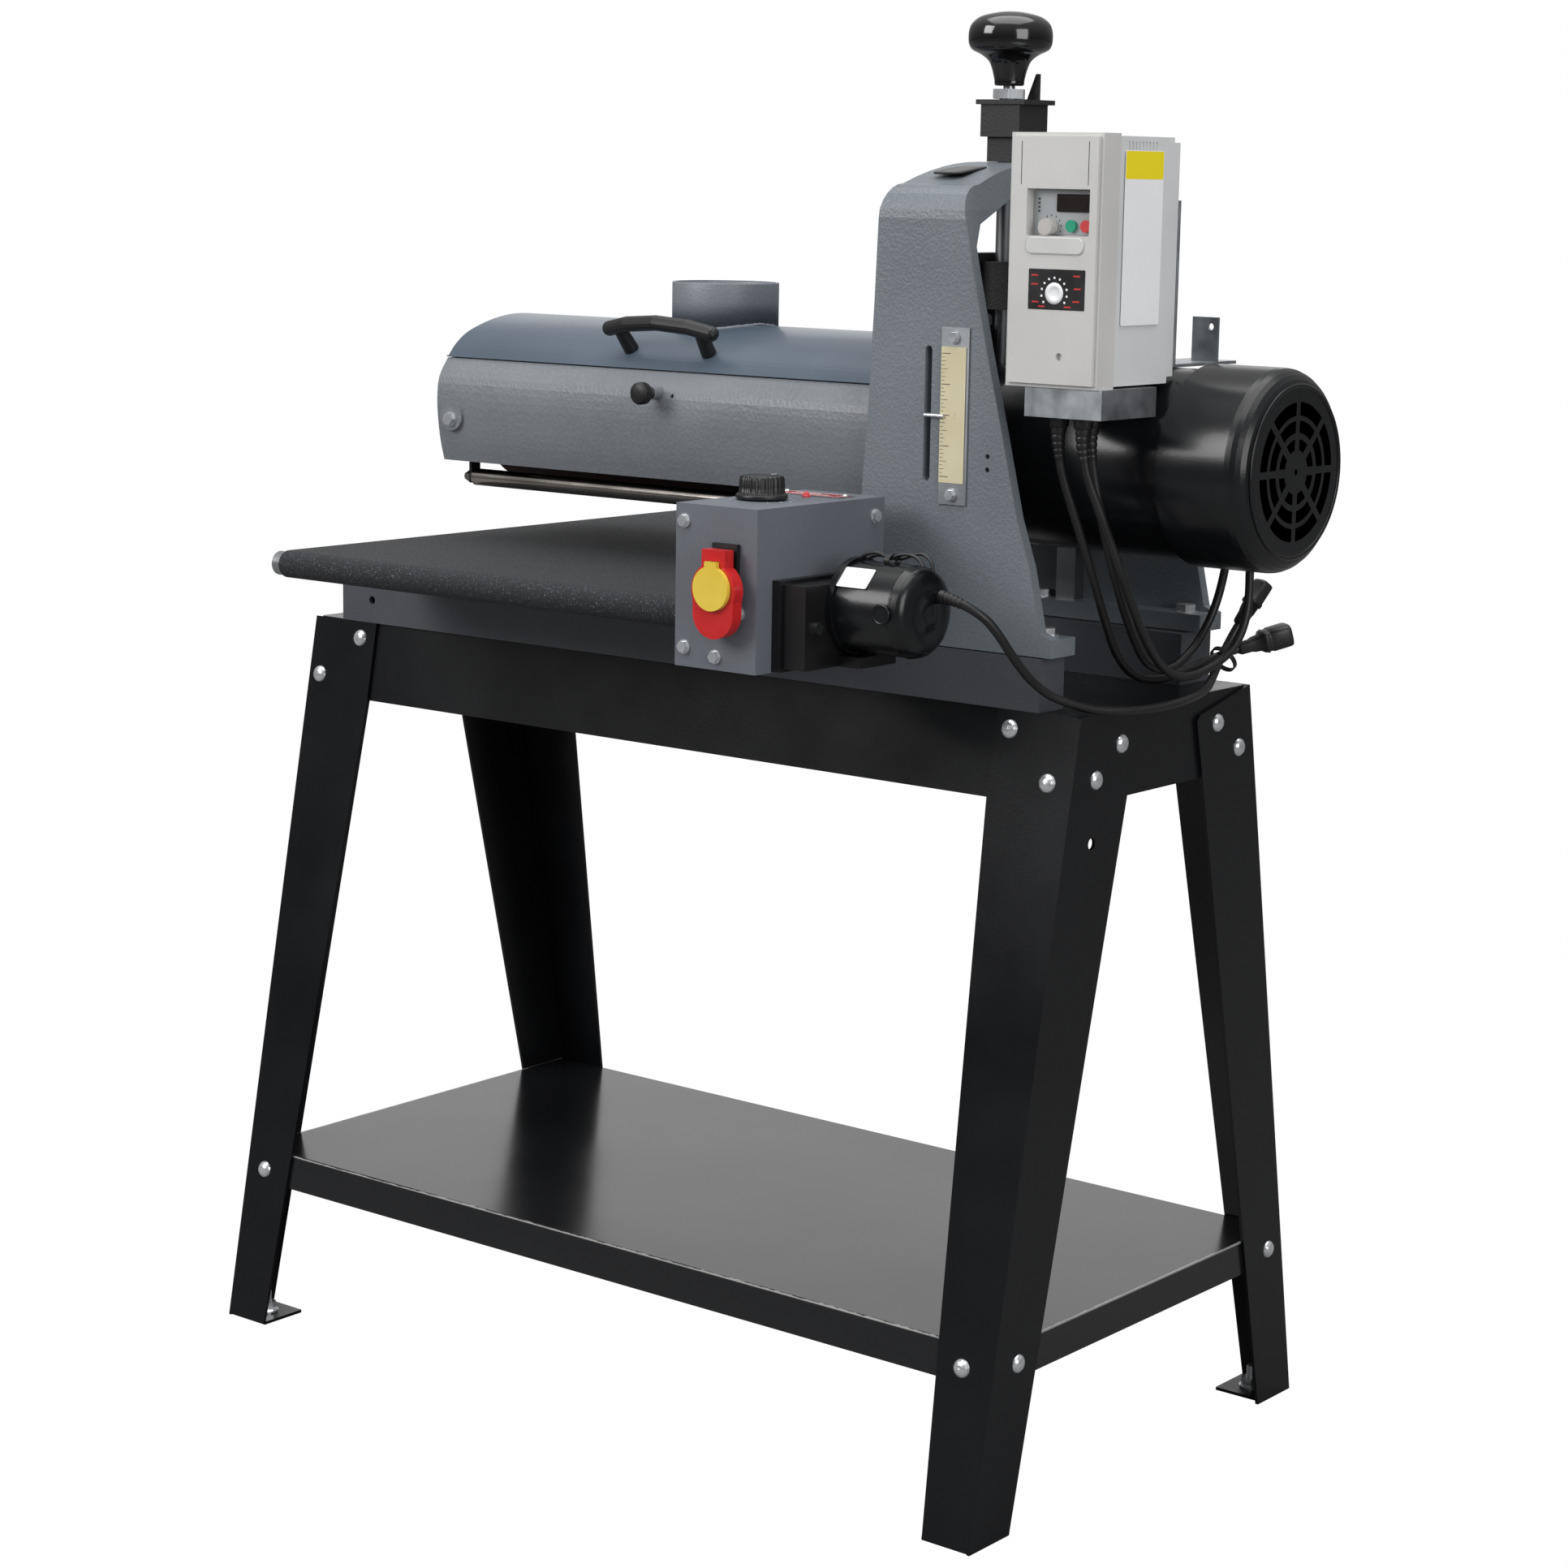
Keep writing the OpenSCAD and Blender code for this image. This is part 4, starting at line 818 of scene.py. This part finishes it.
def finish(name, light, dark, rough, using, bump=0.1, depth=0.0004, swing=0.08, metallic=0.0,
           coat=0.0, fine_tint=0.3, specular=0.5, **scales):
    """Colour runs dark to light with the effect, roughness swings with its patches; scales set its inputs."""
    material, tree, shader = new_material(name)
    group = add_node(tree, "Group", scales, node_tree=using)
    height, patches = group.outputs["Height"], group.outputs["Patches"]
    tint = maths(tree, "ADD", maths(tree, "MULTIPLY", height, fine_tint),
                 maths(tree, "MULTIPLY", patches, 1.0 - fine_tint))
    feed(tree, shader, {
        "Base Color": two_tone(tree, map_range(tree, tint, NOISE_LOW, NOISE_HIGH), dark, light),
        "Roughness": map_range(tree, patches, NOISE_LOW, NOISE_HIGH,
                               max(rough - swing, SMOOTHEST), min(rough + swing, 1.0)),
        "Normal": relief(tree, height, bump, depth),
        "Metallic": metallic, "Coat Weight": coat, "Coat Roughness": 0.12, "Specular IOR Level": specular})
    return material


def wear(obj, material):
    obj.data.materials.clear()
    obj.data.materials.append(material)


slate = finish("slate_hammered", (118, 125, 131), (104, 111, 117), 0.4, hammered,
               Cells=400.0, bump=0.45, depth=0.0006)
housing_paint = finish("housing_hammered", (124, 128, 133), (107, 111, 117), 0.4, hammered,
                       Cells=340.0, bump=0.4, depth=0.0006)
cover_paint = finish("cover_slate", (80, 93, 106), (66, 78, 91), 0.33, grain,
                     Fine=700.0, Patch=5.0, bump=0.12, coat=0.25)
# The port's paint is the housing's, made lighter and bluer: painted light on the port's lit side.
port_paint_painted_light = finish("port_grey_painted_light", (132, 137, 145), (116, 121, 129), 0.45, hammered,
                    Cells=420.0, bump=0.35, depth=0.0005)
stand_paint = finish("stand_black", (18, 20, 23), (9, 10, 13), 0.3, grain,
                     Fine=500.0, Patch=6.0, bump=0.12, specular=0.3)
base_paint = finish("base_charcoal", (84, 87, 93), (66, 69, 75), 0.5, grain,
                    Fine=800.0, Patch=12.0, bump=0.3, fine_tint=0.5)
box_paint = finish("box_grey", (108, 112, 120), (94, 98, 106), 0.48, grain,
                   Fine=850.0, Patch=9.0, bump=0.35, fine_tint=0.55)
satin_black = finish("satin_black", (24, 24, 26), (14, 14, 16), 0.36, grain, Fine=600.0, Patch=8.0, bump=0.12)
motor_paint = finish("motor_black", (20, 22, 25), (11, 13, 15), 0.26, grain,
                     Fine=420.0, Patch=7.0, bump=0.16, coat=0.1, specular=0.4)
cast_black = finish("cast_black", (38, 38, 40), (22, 22, 24), 0.55, hammered, Cells=500.0, bump=0.4)
black_plastic = finish("black_plastic", (30, 30, 32), (19, 19, 21), 0.42, grain,
                       Fine=1400.0, Patch=20.0, bump=0.12)
gloss_black = finish("gloss_black", (14, 14, 16), (8, 8, 9), 0.1, grain,
                     Fine=120.0, Patch=12.0, bump=0.03, coat=0.6, swing=0.03)
rubber = finish("lead_rubber", (30, 30, 32), (18, 18, 19), 0.4, grain, Fine=900.0, Patch=30.0, bump=0.12)
zinc = finish("zinc", (240, 243, 246), (206, 210, 214), 0.2, grain,
              Fine=1600.0, Patch=90.0, bump=0.15, metallic=0.75)
steel = finish("machined_steel", (190, 192, 194), (140, 142, 145), 0.28, brushed, bump=0.15, metallic=1.0)
upright_steel = finish("upright_steel", (176, 178, 181), (128, 131, 134), 0.3, brushed,
                       bump=0.15, metallic=1.0, **{"Along X": 900.0, "Along Y": 900.0, "Along Z": 30.0})
chrome = finish("roller_chrome", (196, 190, 184), (150, 143, 136), 0.14, brushed,
                bump=0.06, metallic=1.0, swing=0.05)
galvanised = finish("galvanised", (196, 200, 204), (150, 156, 161), 0.36, grain,
                    Fine=60.0, Patch=45.0, bump=0.08, metallic=0.9)
aluminium = finish("plate_aluminium", (182, 185, 187), (148, 151, 154), 0.4, brushed, bump=0.12, metallic=0.9)
cream = finish("scale_cream", (226, 217, 184), (212, 202, 166), 0.45, grain,
               Fine=900.0, Patch=25.0, bump=0.04)
white_plastic = finish("inverter_shell", (210, 209, 207), (198, 197, 195), 0.46, grain,
                       Fine=1500.0, Patch=14.0, bump=0.18)
# The inverter's side: its own pale plastic, made lighter than the cover's as painted light on the side that
# faces the fill lamp.
side_plastic_painted_light = finish("inverter_side_painted_light", (218, 220, 221), (206, 208, 209), 0.5, grain,
                      Fine=1500.0, Patch=14.0, bump=0.18)
lip_plastic = finish("window_lip_grey", (216, 216, 214), (204, 204, 203), 0.35, grain,
                     Fine=900.0, Patch=20.0, bump=0.05)
keypad_plastic = finish("keypad_grey", (176, 180, 182), (160, 164, 167), 0.4, grain,
                        Fine=1200.0, Patch=20.0, bump=0.08)
display_dark = finish("display_dark", (42, 34, 32), (28, 22, 21), 0.12, grain,
                      Fine=200.0, Patch=60.0, bump=0.01, coat=0.5)
label_black = finish("label_black", (30, 30, 33), (20, 20, 23), 0.35, grain,
                     Fine=1200.0, Patch=40.0, bump=0.03)
label_white = finish("label_white", (250, 251, 252), (242, 243, 245), 0.38, grain,
                     Fine=900.0, Patch=12.0, bump=0.03)
label_yellow = finish("label_yellow", (252, 232, 30), (246, 222, 20), 0.38, grain,
                      Fine=900.0, Patch=12.0, bump=0.03)
label_red = finish("label_red", (160, 42, 46), (140, 32, 38), 0.3, grain, Fine=700.0, Patch=30.0, bump=0.05)
red_print = finish("red_print", (206, 52, 48), (186, 40, 38), 0.4, grain, bump=0.02)
ink = finish("scale_ink", (52, 50, 46), (36, 34, 31), 0.5, grain, bump=0.02)
paddle_red = finish("paddle_red", (214, 40, 40), (190, 26, 30), 0.28, grain,
                    Fine=900.0, Patch=30.0, bump=0.06, coat=0.2)
key_yellow = finish("key_yellow", (240, 212, 84), (226, 190, 58), 0.32, grain,
                    Fine=900.0, Patch=30.0, bump=0.06, coat=0.1)
button_green = finish("button_green", (44, 168, 130), (30, 146, 112), 0.3, grain, Fine=900.0, bump=0.04)
button_red = finish("button_red", (222, 74, 78), (200, 56, 60), 0.3, grain, Fine=900.0, bump=0.04)
knob_grey = finish("knob_grey", (204, 200, 196), (182, 178, 174), 0.3, grain, Fine=700.0, bump=0.05)
abrasive = finish("abrasive", (84, 58, 46), (58, 40, 33), 0.85, grain,
                  Fine=2200.0, Patch=30.0, bump=0.9, depth=0.001, fine_tint=0.6)
bed_steel = finish("bed_steel", (118, 120, 123), (96, 98, 101), 0.4, brushed, bump=0.1, metallic=0.8)
print("finishes", len(bpy.data.materials))

# %% [markdown]
# ## Belt and shelf
# The belt is abrasive cloth: coarse black grit, with pale spots painted into its colour as
# glints of light on the grains. The shelf is glossy, and its cut edges have rubbed through to a
# pale line. Both are told from the place on the piece, in metres, so they hold still when the view turns.

# %% Grit of the belt, with painted glints
belt, tree, shader = new_material("belt_grit_painted_glints")
spot = on_piece(tree)
coarse = noise(tree, spot, scale=560.0, detail=2.0, rough=0.6)
clumps = noise(tree, spot, scale=1500.0, detail=2.0, rough=0.6)
grit_and_glints = maths(tree, "ADD", maths(tree, "MULTIPLY", coarse, 0.6), maths(tree, "MULTIPLY", clumps, 0.4))
feed(tree, shader, {
    # Pale where the noise runs high: painted glints of light on the dark grit, not the grains' own colour.
    "Base Color": two_tone(tree, map_range(tree, grit_and_glints, low=0.56, high=0.70),
                           dark=(30, 32, 36), light=(128, 132, 139)),
    "Roughness": 0.72,
    "Normal": relief(tree, maths(tree, "ADD", coarse, clumps), strength=0.8, distance=0.0015)})

# %% Worn edges of the shelf
edge_wear, wear_in, wear_out = effect(
    "edge_wear", {"Half X": 0.44, "Half Y": 0.22, "Width": 0.002, "Top": 0.166}, ("Mask",))
spot = on_piece(edge_wear)
parts = add_node(edge_wear, "SeparateXYZ", {"Vector": spot})
from_end, from_side = [
    maths(edge_wear, "SUBTRACT", wear_in.outputs[f"Half {axis}"],
          maths(edge_wear, "ABSOLUTE", parts.outputs[axis])) for axis in "XY"]
ragged = maths(edge_wear, "MULTIPLY", noise(edge_wear, spot, scale=120.0, detail=4.0, rough=0.7),
               wear_in.outputs["Width"])
patchy = maths(edge_wear, "MULTIPLY", noise(edge_wear, spot, scale=14.0, detail=2.0), 2.4)
rubbed = maths(edge_wear, "LESS_THAN", maths(edge_wear, "MINIMUM", from_end, from_side),
               maths(edge_wear, "MULTIPLY", ragged, patchy))
on_top = maths(edge_wear, "GREATER_THAN", parts.outputs["Z"], wear_in.outputs["Top"])
feed(edge_wear, wear_out, {"Mask": maths(edge_wear, "MULTIPLY", rubbed, on_top)})

# Half Y reaches to the bend of the long lips, and only the topmost skin is rubbed.
SHELF_HALF_Y = 0.2244
SKIN_OF_TOP = 0.0015
shelf_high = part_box("shelf")[1]
shelf_paint, tree, shader = new_material("shelf_gloss")
worn = add_node(tree, "Group", {
    "Half X": shelf_high[0], "Half Y": SHELF_HALF_Y, "Width": 0.0024,
    "Top": shelf_high[2] - SKIN_OF_TOP}, node_tree=edge_wear)
skin = add_node(tree, "Group", {"Fine": 260.0, "Patch": 3.0}, node_tree=grain)
feed(tree, shader, {
    "Base Color": two_tone(tree, worn.outputs["Mask"], dark=(24, 25, 27), light=(150, 150, 148)),
    "Roughness": map_range(tree, skin.outputs["Patches"], NOISE_LOW, NOISE_HIGH, to_low=0.16, to_high=0.26),
    "Normal": relief(tree, skin.outputs["Height"], strength=0.05, distance=0.0003)})
print("shelf", shelf_high)

# %% Backdrop
# The floor is pure white to the eye and a dim grey to the light that bounces off it.
backdrop, tree, dim_floor = new_material("white_backdrop")
feed(tree, dim_floor, {"Base Color": srgb(120, 120, 120), "Roughness": 0.9})
white = add_node(tree, "Emission", {"Strength": 1.0})
surface = camera_sees(tree, white.outputs["Emission"], dim_floor.outputs["BSDF"])
feed(tree, tree.nodes["Material Output"], {"Surface": surface})
wear(floor, backdrop)
print("backdrop", backdrop.name)

# %% [markdown]
# ## Who wears what
# The ready-made parts take their finishes by name. The pieces made above take theirs in one
# table, so that a finish can be traced to everything it touches.

# %% Paint the parts
node_finishes = {
    "front_legs": stand_paint, "rear_legs": stand_paint, "aprons": stand_paint, "shelf": shelf_paint,
    "stand_fasteners": zinc, "base_frame": base_paint, "column": slate, "column_ways": upright_steel,
    "machine_screws": zinc, "depth_gauge": aluminium, "screw_bracket": cast_black,
    "lead_screw": upright_steel, "head_carriage": cast_black, "head_bolts": zinc, "depth_pointer": zinc,
    "drum_housing": housing_paint, "drum_bearings": steel, "drum": steel, "abrasive_wrap": abrasive,
    "shaft_coupling": steel, "dust_cover": cover_paint, "cover_hinge_pin": steel,
    "cover_handle": black_plastic, "infeed_bracket": satin_black, "outfeed_bracket": satin_black,
    "infeed_roller": chrome, "outfeed_roller": chrome, "motor_body": motor_paint, "rotor_shaft": steel,
    "motor_fan": black_plastic, "fan_cover": motor_paint, "terminal_box": black_plastic,
    "inverter_body": side_plastic_painted_light, "inverter_cover": white_plastic, "inverter_knob": knob_grey,
    "run_button": button_green, "stop_button": button_red, "inverter_bracket": galvanised,
    "conduit_box": galvanised, "conveyor_bed": bed_steel, "conveyor_belt": belt, "drive_roller": steel,
    "idler_roller": steel, "conveyor_sides": aluminium, "control_box": box_paint,
    "switch_body": black_plastic, "switch_paddle": paddle_red, "switch_key": key_yellow,
    "gearbox": satin_black, "gearmotor": motor_paint}
for name, material in node_finishes.items():
    wear(nodes[name], material)

piece_finishes = {
    rubber: [conveyor_cord, supply_cord, motor_cord_a, motor_cord_b],
    black_plastic: [connector, plug, conveyor_relief, supply_relief, motor_relief_a, motor_relief_b,
                    box_relief_a, box_relief_b, tie, dial, latch, wire_clip, badge, *wires],
    gloss_black: [knob],
    steel: springs,
    label_black: [badge_inner, dial_square],
    label_red: [label_strip],
    label_white: [motor_label, side_label, dial_print, dots, label_lines, pointer_line, dial_marks],
    label_yellow: [side_band],
    ink: [scale_ticks, *figures, leds, knob_ticks, grooves],
    keypad_plastic: [keypad],
    display_dark: [display, display_glass],
    lip_plastic: [window_lip],
    red_print: [red_bars],
    button_red: [lamp],
    zinc: label_screws,
    motor_paint: [cap_seam, fan_ring, *brush_caps],
    port_paint_painted_light: [port_sleeve, weld],
    cover_paint: [fold],
}
for material, wearers in piece_finishes.items():
    for piece in wearers:
        wear(piece, material)

print("painted", len(node_finishes), "parts and", sum(len(w) for w in piece_finishes.values()), "pieces")

# %% [markdown]
# ## Two finishes on one part
# The depth scale is one solid of two things: a metal backing and a cream strip. The strip
# gets its own thin plate just proud of the solid. The gland nuts under the inverter's box
# are black plastic on a zinc box, so each gets a turned nut that hides the plain cylinder.

# %% Cream strip and gland nuts
cream_strip = plate("scale_strip", (313, SCALE_FACE, 922), X, Z, (25.2, 112.2), "base",
                    thick=0.0501, corner=0.6, soft=0.02)
wear(cream_strip, cream)
NUT_TOP = 927.02
gland_nuts = []
for i, route in enumerate((supply_route, motor_route_a, motor_route_b)):
    x, y, _ = route[0]
    gland_nuts.append(turned(f"gland_nut_{i}", (0, 0, -1), (x, y, NUT_TOP), [
        (8.6, 0, 1), (8.6, 2.4, 1), (8.2, 3.0, 0.6), (7.9, 3.2, 0), (7.9, 7.2, 0), (7.2, 8.4, 0),
        (5, 8.6, 0), (1, 8.6, 0)], "head", flutes=6, depth=0.07, n=60))
    wear(gland_nuts[-1], black_plastic)
print("strip and", len(gland_nuts), "gland nuts")
